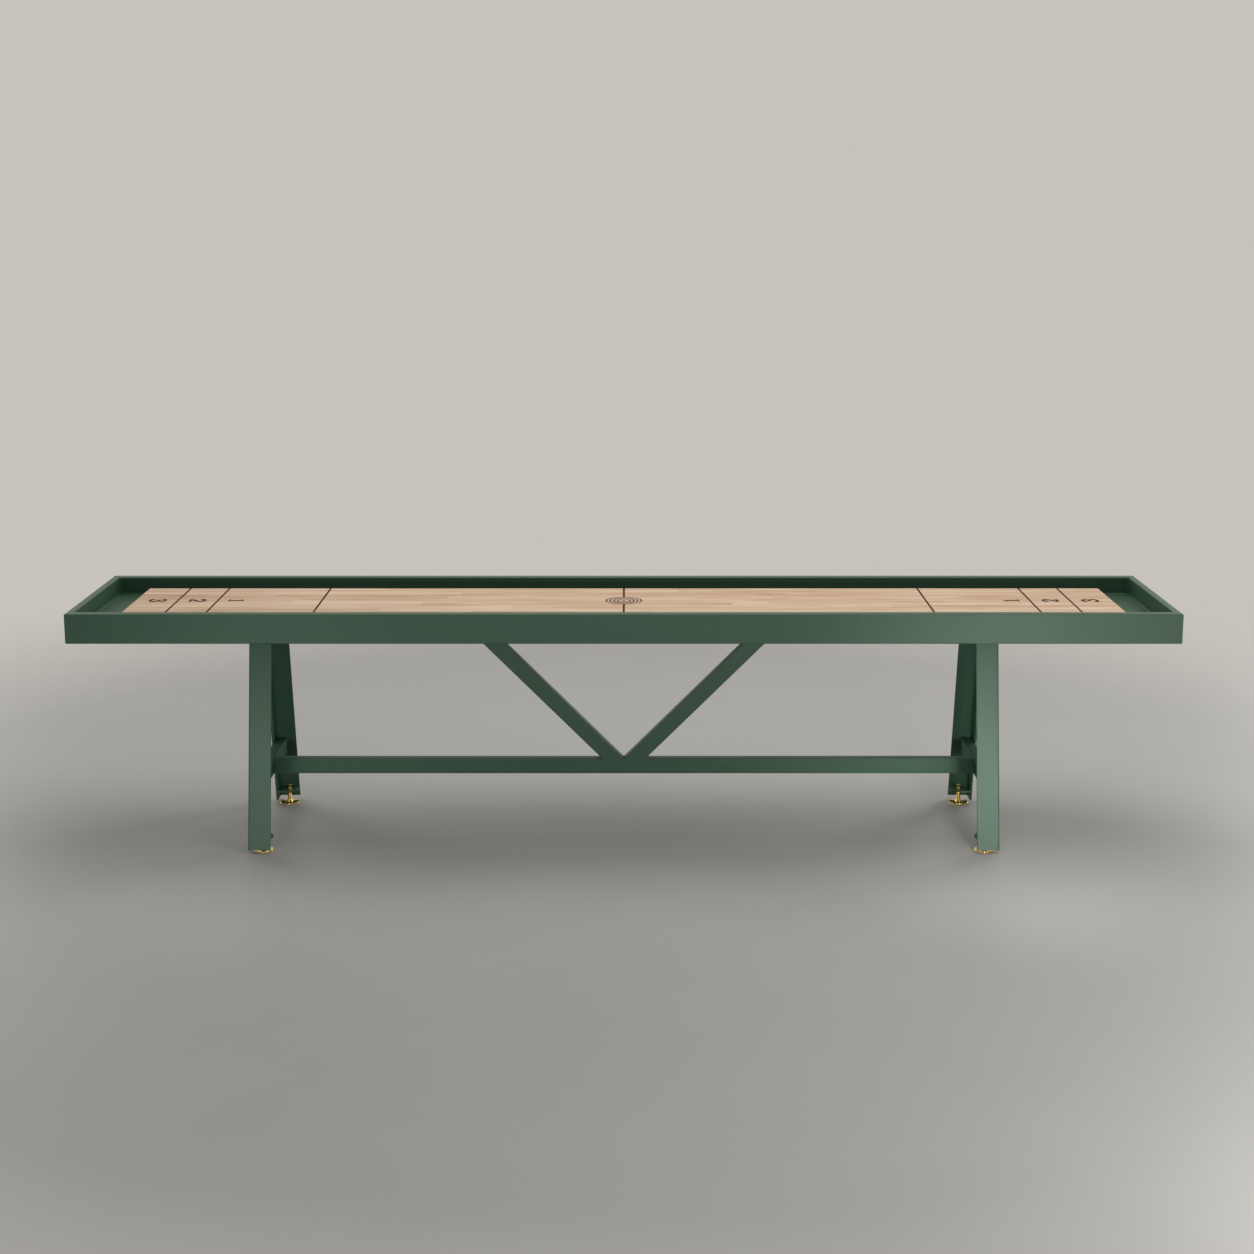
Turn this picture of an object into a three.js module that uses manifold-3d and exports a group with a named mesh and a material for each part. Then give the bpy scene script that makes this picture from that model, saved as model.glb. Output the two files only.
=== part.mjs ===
// Shuffleboard table: a welded steel top frame on two splayed leg frames, with a wooden playing board.
// Millimetres, +Z up, +X along the table, the front at -Y, the origin on the floor below the middle.

import * as THREE from 'three';
import { mergeVertices } from 'three/addons/utils/BufferGeometryUtils.js';
import Module from 'manifold-3d';

// Height of the rails' upper edge above the floor
const tableHeight = 825;

// Rails round the top, box sections of folded and welded sheet
const apronHeight = 99;
const longRailWidth = 40;
const endRailWidth = 25;
const railWall = 3;
const railCornerRadius = 3;

// Playing board, the gutters round it, and the gutter pan that it stands on
const boardLength = 3353;
const boardWidth = 457;
const boardThickness = 37;
const boardEdgeRadius = 2.5;
const endGutterWidth = 127.5;
const sideGutterWidth = 87;
const gutterDepth = 60;
const panThickness = 3;

// Cross beams under the pan
const beamWidth = 40;
const beamWall = 3;
const beamCornerRadius = 3;
const boardEndToBeam = 116.5;
const legBeamMargin = 2;

// Legs of rolled angle, leaning outwards towards the floor
const legInset = 569;
const legFlange = 76;
const legThickness = 6;
const legHeelRadius = 6;
const legFilletRadius = 3;
const legToeRadius = 2.5;
const legLeanDegrees = 13.4;
const legTopSpread = 167;
const legGroundGap = 14;

// Plate on top of each leg pair, bolted up into the leg beam
const legPlateThickness = 8;
const legPlateOverhang = 8;
const legBoltSpacingX = 44;
const legBoltSpacingY = 110;

// Stretcher, cross bars and struts, all of one tube
const tubeHeight = 54;
const tubeDepth = 38;
const tubeWall = 3;
const tubeCornerRadius = 3;
const stretcherBottom = 193;
const endPlugLength = 14;
const strutAngleDegrees = 45;

// Plate on top of each strut, bolted up into the strut beam
const strutPlateThickness = 6;
const strutPlateMargin = 9;
const strutPlateWidth = 140;
const strutBoltSpacing = 104;

// Levelling feet
const footPlateBottom = 46;
const footPlateThickness = 6;
const footPlateRadius = 35;
const stemToFlange = 38;
const stemToWeb = 35.5;
const stemRadius = 7;
const stemTop = 68;
const stemHeadRadius = 9.5;
const stemHeadRim = 2;
const stemFlareHeight = 6;
const stemTipChamfer = 1;
const slotWidth = 2.2;
const slotDepth = 3;
const padRadius = 35;
const padThickness = 4;
const padRimRadius = 1.5;
const bossRadius = 12;
const bossTopRadius = 10;
const bossHeight = 6;
const socketDepth = 6;

// Bolts and screws
const legBoltRadius = 5;
const legBoltHeadRadius = 9.2;
const legBoltHeadHeight = 6.4;
const strutBoltRadius = 4;
const strutBoltHeadRadius = 7.5;
const strutBoltHeadHeight = 5.3;
const boltProtrusion = 10;
const boardScrewRadius = 3;
const boardScrewHeadRadius = 6.5;
const boardScrewHeadHeight = 4;
const boardScrewBite = 25;
const boardScrewSpacing = 300;

// Clearances: between welded or seated faces, round bolts and turning stems, and past a cut
const seatGap = 0.25;
const boltClearance = 0.5;
const stemClearance = 0.3;
const cutOverrun = 5;

// Facets of round shapes
const cornerFacets = 4;
const tongueFacets = 10;
const stemSides = 28;
const padSides = 40;
const boltSides = 16;
const hexSides = 6;

// Heights and places that follow from the sizes above
const innerHalfLength = boardLength / 2 + endGutterWidth;
const innerHalfWidth = boardWidth / 2 + sideGutterWidth;
const halfLength = innerHalfLength + endRailWidth;
const halfWidth = innerHalfWidth + longRailWidth;
const apronBottom = tableHeight - apronHeight;
const gutterFloor = tableHeight - gutterDepth;
const panBottom = gutterFloor - panThickness;
const beamTop = panBottom - seatGap;
const legOuterX = halfLength - legInset;
const legMiddleX = legOuterX - legFlange / 2;
const legBeamWidth = legFlange + 2 * legBeamMargin;
const legPlateTop = apronBottom - seatGap;
const legTop = legPlateTop - legPlateThickness - seatGap;
const lean = THREE.MathUtils.degToRad(legLeanDegrees);
const crossBarOuterX = legOuterX - legThickness - seatGap;
const crossBarInnerX = crossBarOuterX - tubeDepth;
const stretcherTop = stretcherBottom + tubeHeight;
const stretcherMiddleZ = stretcherBottom + tubeHeight / 2;
const stretcherEndX = crossBarInnerX - seatGap;
const strutAngle = THREE.MathUtils.degToRad(strutAngleDegrees);
const strutCutWidth = tubeHeight / Math.sin(strutAngle);
const strutFootZ = stretcherTop + seatGap;
const strutPlateTop = apronBottom - seatGap;
const strutPlateBottom = strutPlateTop - strutPlateThickness;
const strutTopZ = strutPlateBottom - seatGap;
const strutTopX = seatGap + (strutTopZ - strutFootZ) / Math.tan(strutAngle) + strutCutWidth / 2;
const footPlateMiddle = footPlateBottom + footPlateThickness / 2;
const stemX = legOuterX - legThickness - stemToFlange;
const stemY = webInnerFace(footPlateMiddle) - stemToWeb;
const stemBottom = padThickness + bossHeight - socketDepth + seatGap;
const endBeamX = boardLength / 2 - boardEndToBeam;

// Finishes
const greenCoat = finish('green_coat', '#47654f', 0.42, 0);
const mapleWood = finish('maple', '#cdb190', 0.45, 0);
const polishedBrass = finish('brass', '#c8a04c', 0.25, 1);
const zincSteel = finish('zinc_steel', '#8f9294', 0.4, 1);

const wasm = await Module();
wasm.setup();

/** A material with a colour, a roughness and a metalness. */
function finish(name, color, roughness, metalness) {
  return new THREE.MeshStandardMaterial({ name, color, roughness, metalness });
}

/** Distance from the table's mid plane to the inner face of a leg's web at height z. */
function webInnerFace(z) {
  return legTopSpread + (apronBottom - z) * Math.tan(lean) - legThickness / Math.cos(lean);
}

/** Turns a closed geometry into a solid for joining and cutting. */
function toSolid(geometry) {
  const bare = geometry.clone();
  bare.deleteAttribute('normal');
  bare.deleteAttribute('uv');
  const merged = mergeVertices(bare);
  const vertProperties = new Float32Array(merged.attributes.position.array);
  const triVerts = new Uint32Array(merged.index.array);
  return new wasm.Manifold(new wasm.Mesh({ numProp: 3, vertProperties, triVerts }));
}

/** Turns a solid back into a geometry. */
function toGeometry(solid) {
  const mesh = solid.getMesh();
  const geometry = new THREE.BufferGeometry();
  geometry.setAttribute('position', new THREE.BufferAttribute(new Float32Array(mesh.vertProperties), 3));
  geometry.setIndex(new THREE.BufferAttribute(new Uint32Array(mesh.triVerts), 1));
  geometry.computeVertexNormals();
  return geometry;
}

/** Cuts each tool geometry out of a geometry. */
function cut(geometry, ...tools) {
  return toGeometry(tools.reduce((solid, tool) => solid.subtract(toSolid(tool)), toSolid(geometry)));
}

/** Joins geometries that overlap into one. */
function join(geometry, ...others) {
  return toGeometry(others.reduce((solid, other) => solid.add(toSolid(other)), toSolid(geometry)));
}

/** Keeps what two geometries share. */
function common(geometry, mask) {
  return toGeometry(toSolid(geometry).intersect(toSolid(mask)));
}

/** Points along an arc about a centre, both ends included. */
function arcPoints(centre, radius, from, to, facets) {
  return Array.from({ length: facets + 1 }, (_, index) => {
    const angle = from + (to - from) * index / facets;
    return new THREE.Vector2(Math.cos(angle), Math.sin(angle)).multiplyScalar(radius).add(centre);
  });
}

/** An outline from corners [x, y, radius], each rounded by an arc of its radius. */
function roundedOutline(corners) {
  const points = corners.map(([x, y]) => new THREE.Vector2(x, y));
  const rounded = corners.flatMap(([, , radius], index) => {
    const corner = points[index];
    if (radius === 0) return [corner];
    const back = points.at(index - 1).clone().sub(corner).normalize();
    const ahead = points[(index + 1) % points.length].clone().sub(corner).normalize();
    const halfAngle = Math.acos(back.dot(ahead)) / 2;
    const centre = back.clone().add(ahead).normalize();
    centre.multiplyScalar(radius / Math.sin(halfAngle)).add(corner);
    const middle = corner.clone().sub(centre).angle();
    const sweep = Math.sign(ahead.cross(back)) * (Math.PI / 2 - halfAngle);
    return arcPoints(centre, radius, middle - sweep, middle + sweep, cornerFacets);
  });
  return new THREE.Shape(rounded);
}

/** A rectangle outline about the origin with rounded corners. */
function rectangleOutline(width, height, radius) {
  const x = width / 2;
  const y = height / 2;
  return roundedOutline([[-x, -y, radius], [x, -y, radius], [x, y, radius], [-x, y, radius]]);
}

/** Extrudes an outline along +Z from zero. */
function extrude(outline, depth) {
  return new THREE.ExtrudeGeometry(outline, { depth, bevelEnabled: false });
}

/** A hollow box section, width along X and height along Y, centred on the origin and long along Z. */
function boxSection(width, height, wall, radius, length) {
  const x = width / 2 - wall;
  const y = height / 2 - wall;
  const z = length / 2 + cutOverrun;
  const bar = extrude(rectangleOutline(width, height, radius), length).translate(0, 0, -length / 2);
  return cut(bar, block([-x, -y, -z], [x, y, z]));
}

/** A box section lying along X, with its depth along Y and its height along Z. */
function sectionAlongX(depth, height, wall, radius, length) {
  return boxSection(height, depth, wall, radius, length).rotateY(Math.PI / 2);
}

/** A box section lying along Y, with its width along X and its height along Z. */
function sectionAlongY(width, height, wall, radius, length) {
  return boxSection(width, height, wall, radius, length).rotateX(Math.PI / 2);
}

/** A block between two corners. */
function block(low, high) {
  const size = high.map((value, axis) => value - low[axis]);
  const middle = high.map((value, axis) => (value + low[axis]) / 2);
  return new THREE.BoxGeometry(...size).translate(...middle);
}

/** A rod along Z from bottom to top, of a circumscribed radius and a number of sides. */
function rod(radius, bottom, top, sides = boltSides) {
  const length = top - bottom;
  const cylinder = new THREE.CylinderGeometry(radius, radius, length, sides);
  return cylinder.rotateX(Math.PI / 2).translate(0, 0, (bottom + top) / 2);
}

/** A solid of revolution about Z, from [radius, height] pairs that start and end on the axis. */
function turned(profile, sides) {
  const points = profile.map(([radius, height]) => new THREE.Vector2(radius, height));
  return new THREE.LatheGeometry(points, sides).rotateX(Math.PI / 2);
}

/** A hexagon bolt along +Z: its head below zero and its shank above. */
function hexBolt(radius, headRadius, headHeight, length) {
  const head = rod(headRadius, -headHeight, 0, hexSides);
  const shank = rod(radius, -headHeight / 2, length);
  return join(head, shank);
}

/** Adds a named mesh to a group and returns it. */
function addPiece(group, name, geometry, material) {
  const mesh = new THREE.Mesh(geometry, material);
  mesh.name = name;
  group.add(mesh);
  return mesh;
}

/** A plan mask whose ends follow the mitre of a rail of the given width, for one rail along X. */
function mitreMask(halfRun, railWidth, otherWidth) {
  const slope = otherWidth / railWidth;
  const outerX = halfRun - seatGap + cutOverrun * slope;
  const innerX = halfRun - seatGap - otherWidth - cutOverrun * slope;
  const outerY = -cutOverrun;
  const innerY = railWidth + cutOverrun;
  const outline = roundedOutline([
    [-outerX, outerY, 0],
    [outerX, outerY, 0],
    [innerX, innerY, 0],
    [-innerX, innerY, 0],
  ]);
  const depth = apronHeight + 2 * cutOverrun;
  return extrude(outline, depth).translate(0, -railWidth / 2, -depth / 2);
}

/** One rail along X with mitred ends, its outer face towards -Y, centred on its own middle. */
function mitredRail(length, railWidth, otherWidth) {
  const section = sectionAlongX(railWidth, apronHeight, railWall, railCornerRadius, length);
  return common(section, mitreMask(length / 2, railWidth, otherWidth));
}

/** The four rails that frame the table top. */
function makeRails() {
  const group = new THREE.Group();
  const middleZ = apronBottom + apronHeight / 2;
  [['front_rail', 0], ['rear_rail', Math.PI]].forEach(([name, turn]) => {
    const holder = new THREE.Group();
    const rail = mitredRail(2 * halfLength, longRailWidth, endRailWidth);
    addPiece(holder, name, rail, greenCoat).position.y = -halfWidth + longRailWidth / 2;
    holder.rotation.z = turn;
    group.add(holder);
  });
  [['left_end_rail', -Math.PI / 2], ['right_end_rail', Math.PI / 2]].forEach(([name, turn]) => {
    const holder = new THREE.Group();
    const rail = mitredRail(2 * halfWidth, endRailWidth, longRailWidth);
    addPiece(holder, name, rail, greenCoat).position.y = -halfLength + endRailWidth / 2;
    holder.rotation.z = turn;
    group.add(holder);
  });
  group.position.z = middleZ;
  return group;
}

/** Places of the screws that hold the board down, as [name, x, y]. */
function boardScrewPlaces() {
  const places = [];
  [['left', -endBeamX], ['right', endBeamX]].forEach(([side, x]) => {
    [['front', -boardScrewSpacing / 2], ['rear', boardScrewSpacing / 2]].forEach(([row, y]) => {
      places.push([`${side}_${row}_board_screw`, x, y]);
    });
  });
  return places;
}

/** The flat sheet that closes the frame below the board and forms the gutter floor. */
function makeGutterPan() {
  const x = innerHalfLength - seatGap;
  const y = innerHalfWidth - seatGap;
  const sheet = block([-x, -y, panBottom], [x, y, gutterFloor]);
  const holes = boardScrewPlaces().map(([, holeX, holeY]) =>
    rod(boardScrewRadius + boltClearance, panBottom - cutOverrun, gutterFloor + cutOverrun)
      .translate(holeX, holeY, 0));
  return cut(sheet, ...holes);
}

/** The playing board, round at its upper edges, with pilot holes for its screws below. */
function makePlayingBoard() {
  const radius = boardEdgeRadius;
  const x = boardLength / 2;
  const y = boardWidth / 2;
  const bottom = gutterFloor + seatGap;
  const top = bottom + boardThickness;
  const alongX = extrude(roundedOutline([[-y, bottom, 0], [y, bottom, 0], [y, top, radius], [-y, top, radius]]),
    boardLength).translate(0, 0, -boardLength / 2);
  const alongY = extrude(roundedOutline([[-x, bottom, 0], [x, bottom, 0], [x, top, radius], [-x, top, radius]]),
    boardWidth).translate(0, 0, -boardWidth / 2);
  alongX.rotateX(Math.PI / 2).rotateZ(Math.PI / 2);
  alongY.rotateX(Math.PI / 2);
  const pilots = boardScrewPlaces().map(([, holeX, holeY]) =>
    rod(boardScrewRadius + stemClearance, bottom - cutOverrun, bottom + boardScrewBite + seatGap)
      .translate(holeX, holeY, 0));
  return cut(common(alongX, alongY), ...pilots);
}

/** One cross beam at x, between the long rails, with bolt holes [y, radius, reach] in its walls. */
function crossBeam(x, width, holes) {
  const height = beamTop - apronBottom;
  const length = 2 * (innerHalfWidth - seatGap);
  const beam = sectionAlongY(width, height, beamWall, beamCornerRadius, length);
  beam.translate(x, 0, apronBottom + height / 2);
  return holes.length > 0 ? cut(beam, ...holes) : beam;
}

/** Bolt holes through the lower wall of a beam, at [x, y] places. */
function lowerWallHoles(places, radius) {
  return places.map(([x, y]) =>
    rod(radius, apronBottom - cutOverrun, apronBottom + beamWall + cutOverrun).translate(x, y, 0));
}

/** Places of the four bolts of one leg frame about its plate's middle at x. */
function legBoltPlaces(x) {
  const dx = legBoltSpacingX / 2;
  const dy = legBoltSpacingY / 2;
  return [[x - dx, -dy], [x + dx, -dy], [x - dx, dy], [x + dx, dy]];
}

/** Places of the two bolts of one strut plate at x. */
function strutBoltPlaces(x) {
  return [[x, -strutBoltSpacing / 2], [x, strutBoltSpacing / 2]];
}

/** The cross beams: one in the middle, and two each for the struts, the legs and the board's ends. */
function makeBeams() {
  const group = new THREE.Group();
  addPiece(group, 'middle_beam', crossBeam(0, beamWidth, []), greenCoat);
  [['left', -1], ['right', 1]].forEach(([side, sign]) => {
    const strutX = sign * strutTopX;
    const strutHoles = lowerWallHoles(strutBoltPlaces(strutX), strutBoltRadius + boltClearance);
    addPiece(group, `${side}_strut_beam`, crossBeam(strutX, beamWidth, strutHoles), greenCoat);
    const legX = sign * legMiddleX;
    const legHoles = lowerWallHoles(legBoltPlaces(legX), legBoltRadius + boltClearance);
    addPiece(group, `${side}_leg_beam`, crossBeam(legX, legBeamWidth, legHoles), greenCoat);
    const screwHoles = boardScrewPlaces()
      .filter(([name]) => name.startsWith(side))
      .map(([, x, y]) => rod(boardScrewRadius + boltClearance, apronBottom - cutOverrun, gutterFloor)
        .translate(x, y, 0));
    addPiece(group, `${side}_end_beam`, crossBeam(sign * endBeamX, beamWidth, screwHoles), greenCoat);
  });
  return group;
}

/** The screws that pass up through the end beams and the pan into the board. */
function makeBoardScrews() {
  const group = new THREE.Group();
  const length = gutterFloor + boardScrewBite - apronBottom + seatGap;
  boardScrewPlaces().forEach(([name, x, y]) => {
    const screw = hexBolt(boardScrewRadius, boardScrewHeadRadius, boardScrewHeadHeight, length);
    addPiece(group, name, screw, zincSteel).position.set(x, y, apronBottom - seatGap);
  });
  return group;
}

/** Moves a geometry from a leg's own frame, heel corner on the apron's lower edge, to its place. */
function intoLegFrame(geometry, side) {
  return geometry.rotateX(side * lean).translate(-legOuterX, side * legTopSpread, apronBottom);
}

/** One leg of angle: web outwards, flange towards the table's end, cut level at both ends. */
function makeLeg(side) {
  const inward = (depth) => -side * depth;
  const outline = roundedOutline([
    [0, 0, legHeelRadius],
    [legFlange, 0, legToeRadius],
    [legFlange, inward(legThickness), legToeRadius],
    [legThickness, inward(legThickness), legFilletRadius],
    [legThickness, inward(legFlange), legToeRadius],
    [0, inward(legFlange), legToeRadius],
  ]);
  const reach = apronBottom / Math.cos(lean) + legFlange;
  const angle = extrude(outline, reach + legFlange).translate(0, 0, -reach);
  const span = 2 * halfWidth;
  const slab = block([-legOuterX - legFlange, -span, legGroundGap], [0, span, legTop]);
  return common(intoLegFrame(angle, side), slab);
}

/** The space from a leg's inner web face outwards, with its fillet and a gap, for cutting what meets it. */
function webSpace(side) {
  const inward = (depth) => -side * depth;
  const face = legThickness + seatGap;
  const reach = tableHeight;
  const outline = roundedOutline([
    [-legFlange, inward(-reach), 0],
    [2 * legFlange, inward(-reach), 0],
    [2 * legFlange, inward(face), 0],
    [legThickness + legFilletRadius, inward(face), 0],
    [legThickness, inward(face + legFilletRadius), 0],
    [-legFlange, inward(face + legFilletRadius), 0],
  ]);
  return intoLegFrame(extrude(outline, 2 * reach).translate(0, 0, -reach), side);
}

/** The plate that joins two legs at the top, with its bolt holes. */
function makeLegPlate() {
  const y = legTopSpread + legPlateOverhang;
  const x = legMiddleX + legBeamWidth / 2;
  const plate = block([-x, -y, legPlateTop - legPlateThickness], [-x + legBeamWidth, y, legPlateTop]);
  const holes = legBoltPlaces(-legMiddleX).map(([holeX, holeY]) =>
    rod(legBoltRadius + boltClearance, legTop - cutOverrun, apronBottom + cutOverrun)
      .translate(holeX, holeY, 0));
  return cut(plate, ...holes);
}

/** The bar between two legs at stretcher height, with the hole for the stretcher's bolt. */
function makeCrossBar() {
  const middleX = -(crossBarOuterX + crossBarInnerX) / 2;
  const length = 2 * webInnerFace(0);
  const bar = sectionAlongY(tubeDepth, tubeHeight, tubeWall, tubeCornerRadius, length)
    .translate(middleX, 0, stretcherMiddleZ);
  const hole = rod(legBoltRadius + boltClearance, -tubeDepth, tubeDepth)
    .rotateY(Math.PI / 2)
    .translate(middleX, 0, stretcherMiddleZ);
  return cut(bar, webSpace(-1), webSpace(1), hole);
}

/** The plate inside a leg's foot that the levelling stem is threaded through. */
function makeFootPlate(side) {
  const flangeSide = -(stemToFlange - seatGap);
  const webSide = legFlange - legThickness - legToeRadius - stemToFlange;
  const webReach = side * (stemToWeb + cutOverrun);
  const tongue = arcPoints(new THREE.Vector2(), footPlateRadius, -side * Math.PI / 2, 0, tongueFacets);
  const outline = new THREE.Shape([
    new THREE.Vector2(flangeSide, -side * footPlateRadius),
    ...tongue,
    new THREE.Vector2(webSide, webReach),
    new THREE.Vector2(flangeSide, webReach),
  ]);
  const plate = extrude(outline, footPlateThickness)
    .translate(-stemX, side * stemY, footPlateBottom);
  const hole = rod(stemRadius + stemClearance, 0, tableHeight, stemSides).translate(-stemX, side * stemY, 0);
  return cut(plate, webSpace(side), hole);
}

/** The turned levelling stem with its flared, slotted head. */
function makeStem() {
  const flareBottom = stemTop - stemHeadRim - stemFlareHeight;
  const stem = turned([
    [0, stemBottom],
    [stemRadius - stemTipChamfer, stemBottom],
    [stemRadius, stemBottom + stemTipChamfer],
    [stemRadius, flareBottom],
    [stemHeadRadius, stemTop - stemHeadRim],
    [stemHeadRadius, stemTop],
    [0, stemTop],
  ], stemSides);
  const half = slotWidth / 2;
  const slot = block([-stemHeadRadius * 2, -half, stemTop - slotDepth],
    [stemHeadRadius * 2, half, stemTop + cutOverrun]);
  return cut(stem, slot);
}

/** The round pad that stands on the floor, with the socket that the stem turns in. */
function makePad() {
  const bossTop = padThickness + bossHeight;
  const rim = padRimRadius;
  const diagonal = rim * (1 - Math.SQRT1_2);
  const socketRadius = stemRadius + stemClearance;
  return turned([
    [0, 0],
    [padRadius, 0],
    [padRadius, padThickness - rim],
    [padRadius - diagonal, padThickness - diagonal],
    [padRadius - rim, padThickness],
    [bossRadius, padThickness],
    [bossTopRadius, bossTop],
    [socketRadius, bossTop],
    [socketRadius, bossTop - socketDepth],
    [0, bossTop - socketDepth],
  ], padSides);
}

/** One end's leg frame at -X: two legs, their plate, cross bar, foot plates, bolts and feet. */
function makeLegFrame(end, rows) {
  const group = new THREE.Group();
  addPiece(group, `${end}_leg_plate`, makeLegPlate(), greenCoat);
  addPiece(group, `${end}_cross_bar`, makeCrossBar(), greenCoat);
  rows.forEach(([row, side]) => {
    addPiece(group, `${end}_${row}_leg`, makeLeg(side), greenCoat);
    addPiece(group, `${end}_${row}_foot_plate`, makeFootPlate(side), greenCoat);
    addPiece(group, `${end}_${row}_foot_pad`, makePad(), polishedBrass).position.set(-stemX, side * stemY, 0);
    addPiece(group, `${end}_${row}_foot_stem`, makeStem(), polishedBrass).position.set(-stemX, side * stemY, 0);
  });
  const length = legPlateThickness + beamWall + boltProtrusion;
  legBoltPlaces(-legMiddleX).forEach(([x, y], index) => {
    const bolt = hexBolt(legBoltRadius, legBoltHeadRadius, legBoltHeadHeight, length);
    const name = `${end}_leg_bolt_${index + 1}`;
    addPiece(group, name, bolt, zincSteel).position.set(x, y, legPlateTop - legPlateThickness - seatGap);
  });
  const stretcherBolt = hexBolt(legBoltRadius, legBoltHeadRadius, legBoltHeadHeight, tubeDepth + endPlugLength);
  const placed = addPiece(group, `${end}_stretcher_bolt`, stretcherBolt.rotateY(Math.PI / 2), zincSteel);
  placed.position.set(-crossBarOuterX - seatGap, 0, stretcherMiddleZ);
  return group;
}

/** The long stretcher between the two cross bars, with a threaded plug in each end. */
function makeStretcher() {
  const group = new THREE.Group();
  const tube = sectionAlongX(tubeDepth, tubeHeight, tubeWall, tubeCornerRadius, 2 * stretcherEndX);
  addPiece(group, 'stretcher', tube, greenCoat).position.z = stretcherMiddleZ;
  const y = tubeDepth / 2 - tubeWall - seatGap;
  const z = tubeHeight / 2 - tubeWall - seatGap;
  [['left', -1], ['right', 1]].forEach(([side, sign]) => {
    const plug = block([-endPlugLength / 2, -y, -z], [endPlugLength / 2, y, z]);
    const thread = rod(legBoltRadius + stemClearance, -endPlugLength, endPlugLength).rotateY(Math.PI / 2);
    const placed = addPiece(group, `${side}_stretcher_plug`, cut(plug, thread), zincSteel);
    placed.position.set(sign * (stretcherEndX - endPlugLength / 2), 0, stretcherMiddleZ);
  });
  return group;
}

/** One slanting strut on the side of sign, cut level on the stretcher and under its plate. */
function makeStrut(sign) {
  const length = 2 * (strutTopZ - strutFootZ) / Math.sin(strutAngle);
  const middleX = strutTopX - (strutTopZ - strutFootZ) / (2 * Math.tan(strutAngle));
  const tube = sectionAlongX(tubeDepth, tubeHeight, tubeWall, tubeCornerRadius, length)
    .rotateY(-sign * strutAngle)
    .translate(sign * middleX, 0, (strutTopZ + strutFootZ) / 2);
  const slab = block([-halfLength, -tubeDepth, strutFootZ], [halfLength, tubeDepth, strutTopZ]);
  return common(tube, slab);
}

/** The two struts, their top plates and the plates' bolts. */
function makeStruts() {
  const group = new THREE.Group();
  const halfPlate = strutCutWidth / 2 + strutPlateMargin;
  [['left', -1], ['right', 1]].forEach(([side, sign]) => {
    addPiece(group, `${side}_strut`, makeStrut(sign), greenCoat);
    const x = sign * strutTopX;
    const plate = block([x - halfPlate, -strutPlateWidth / 2, strutPlateBottom],
      [x + halfPlate, strutPlateWidth / 2, strutPlateTop]);
    const holes = strutBoltPlaces(x).map(([holeX, holeY]) =>
      rod(strutBoltRadius + boltClearance, strutPlateBottom - cutOverrun, apronBottom + cutOverrun)
        .translate(holeX, holeY, 0));
    addPiece(group, `${side}_strut_plate`, cut(plate, ...holes), greenCoat);
    strutBoltPlaces(x).forEach(([boltX, boltY], index) => {
      const length = strutPlateThickness + beamWall + boltProtrusion;
      const bolt = hexBolt(strutBoltRadius, strutBoltHeadRadius, strutBoltHeadHeight, length);
      const name = `${side}_strut_bolt_${index + 1}`;
      addPiece(group, name, bolt, zincSteel).position.set(boltX, boltY, strutPlateBottom - seatGap);
    });
  });
  return group;
}

const leftFrame = makeLegFrame('left', [['front', -1], ['rear', 1]]);
const rightFrame = makeLegFrame('right', [['rear', -1], ['front', 1]]);
rightFrame.rotation.z = Math.PI;

const table = new THREE.Group();
table.add(makeRails());
addPiece(table, 'gutter_pan', makeGutterPan(), greenCoat);
addPiece(table, 'playing_board', makePlayingBoard(), mapleWood);
table.add(makeBeams(), makeBoardScrews(), makeStretcher(), makeStruts());
table.add(leftFrame, rightFrame);

export default table;
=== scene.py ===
"""A shuffleboard table in green powder coat, with a maple playing board and brass screw feet.

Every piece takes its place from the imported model's nodes. Lengths are in metres, +X runs along the
table, the front is at -Y and +Z is up.
"""

from __future__ import annotations

import logging
import math
import random
from collections.abc import Iterable, Sequence
from dataclasses import dataclass, field
from enum import Enum
from itertools import pairwise, product

import bmesh
import bpy
from mathutils import Matrix, Vector

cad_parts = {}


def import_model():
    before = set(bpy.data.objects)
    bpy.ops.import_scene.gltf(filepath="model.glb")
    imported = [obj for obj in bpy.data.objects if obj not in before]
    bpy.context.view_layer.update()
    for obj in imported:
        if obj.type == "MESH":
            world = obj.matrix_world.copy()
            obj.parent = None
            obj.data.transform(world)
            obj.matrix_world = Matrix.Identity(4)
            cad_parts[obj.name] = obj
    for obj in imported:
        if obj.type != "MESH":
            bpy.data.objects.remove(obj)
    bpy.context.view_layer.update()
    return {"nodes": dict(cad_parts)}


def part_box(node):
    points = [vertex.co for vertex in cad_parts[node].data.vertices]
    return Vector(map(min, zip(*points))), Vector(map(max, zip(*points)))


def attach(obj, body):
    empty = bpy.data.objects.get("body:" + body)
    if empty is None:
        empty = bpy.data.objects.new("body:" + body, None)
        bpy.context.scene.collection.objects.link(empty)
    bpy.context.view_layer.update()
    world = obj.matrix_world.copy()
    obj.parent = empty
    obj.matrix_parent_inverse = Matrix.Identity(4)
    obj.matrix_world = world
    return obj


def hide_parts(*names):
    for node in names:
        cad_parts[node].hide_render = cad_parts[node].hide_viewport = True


LOG = logging.getLogger("shuffleboard_table")
MM = 0.001
FRAME_BODY = "table_frame"
BOARD_NODE = "playing_board"
TONE_LAYER = "lamella_tone"
SEED_LAYER = "lamella_seed"
FLAT_MAP = "lamella"
QUARTER_TURN = math.pi / 2
TOUCHING = 0.001 * MM
CREASE_DEGREES = 32.0

# How far the slot in each stem's head is turned, corner by corner
SLOT_TURNS_DEGREES = (25.0, 90.0, 140.0, 0.0)

Colour = tuple[float, float, float, float]
Plan = tuple[float, float]
Spot = tuple[float, float, float]
Shape = bmesh.types.BMesh
Material = bpy.types.Material
WHITE: Colour = (1.0, 1.0, 1.0, 1.0)
UP = Vector((0, 0, 1))


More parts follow.
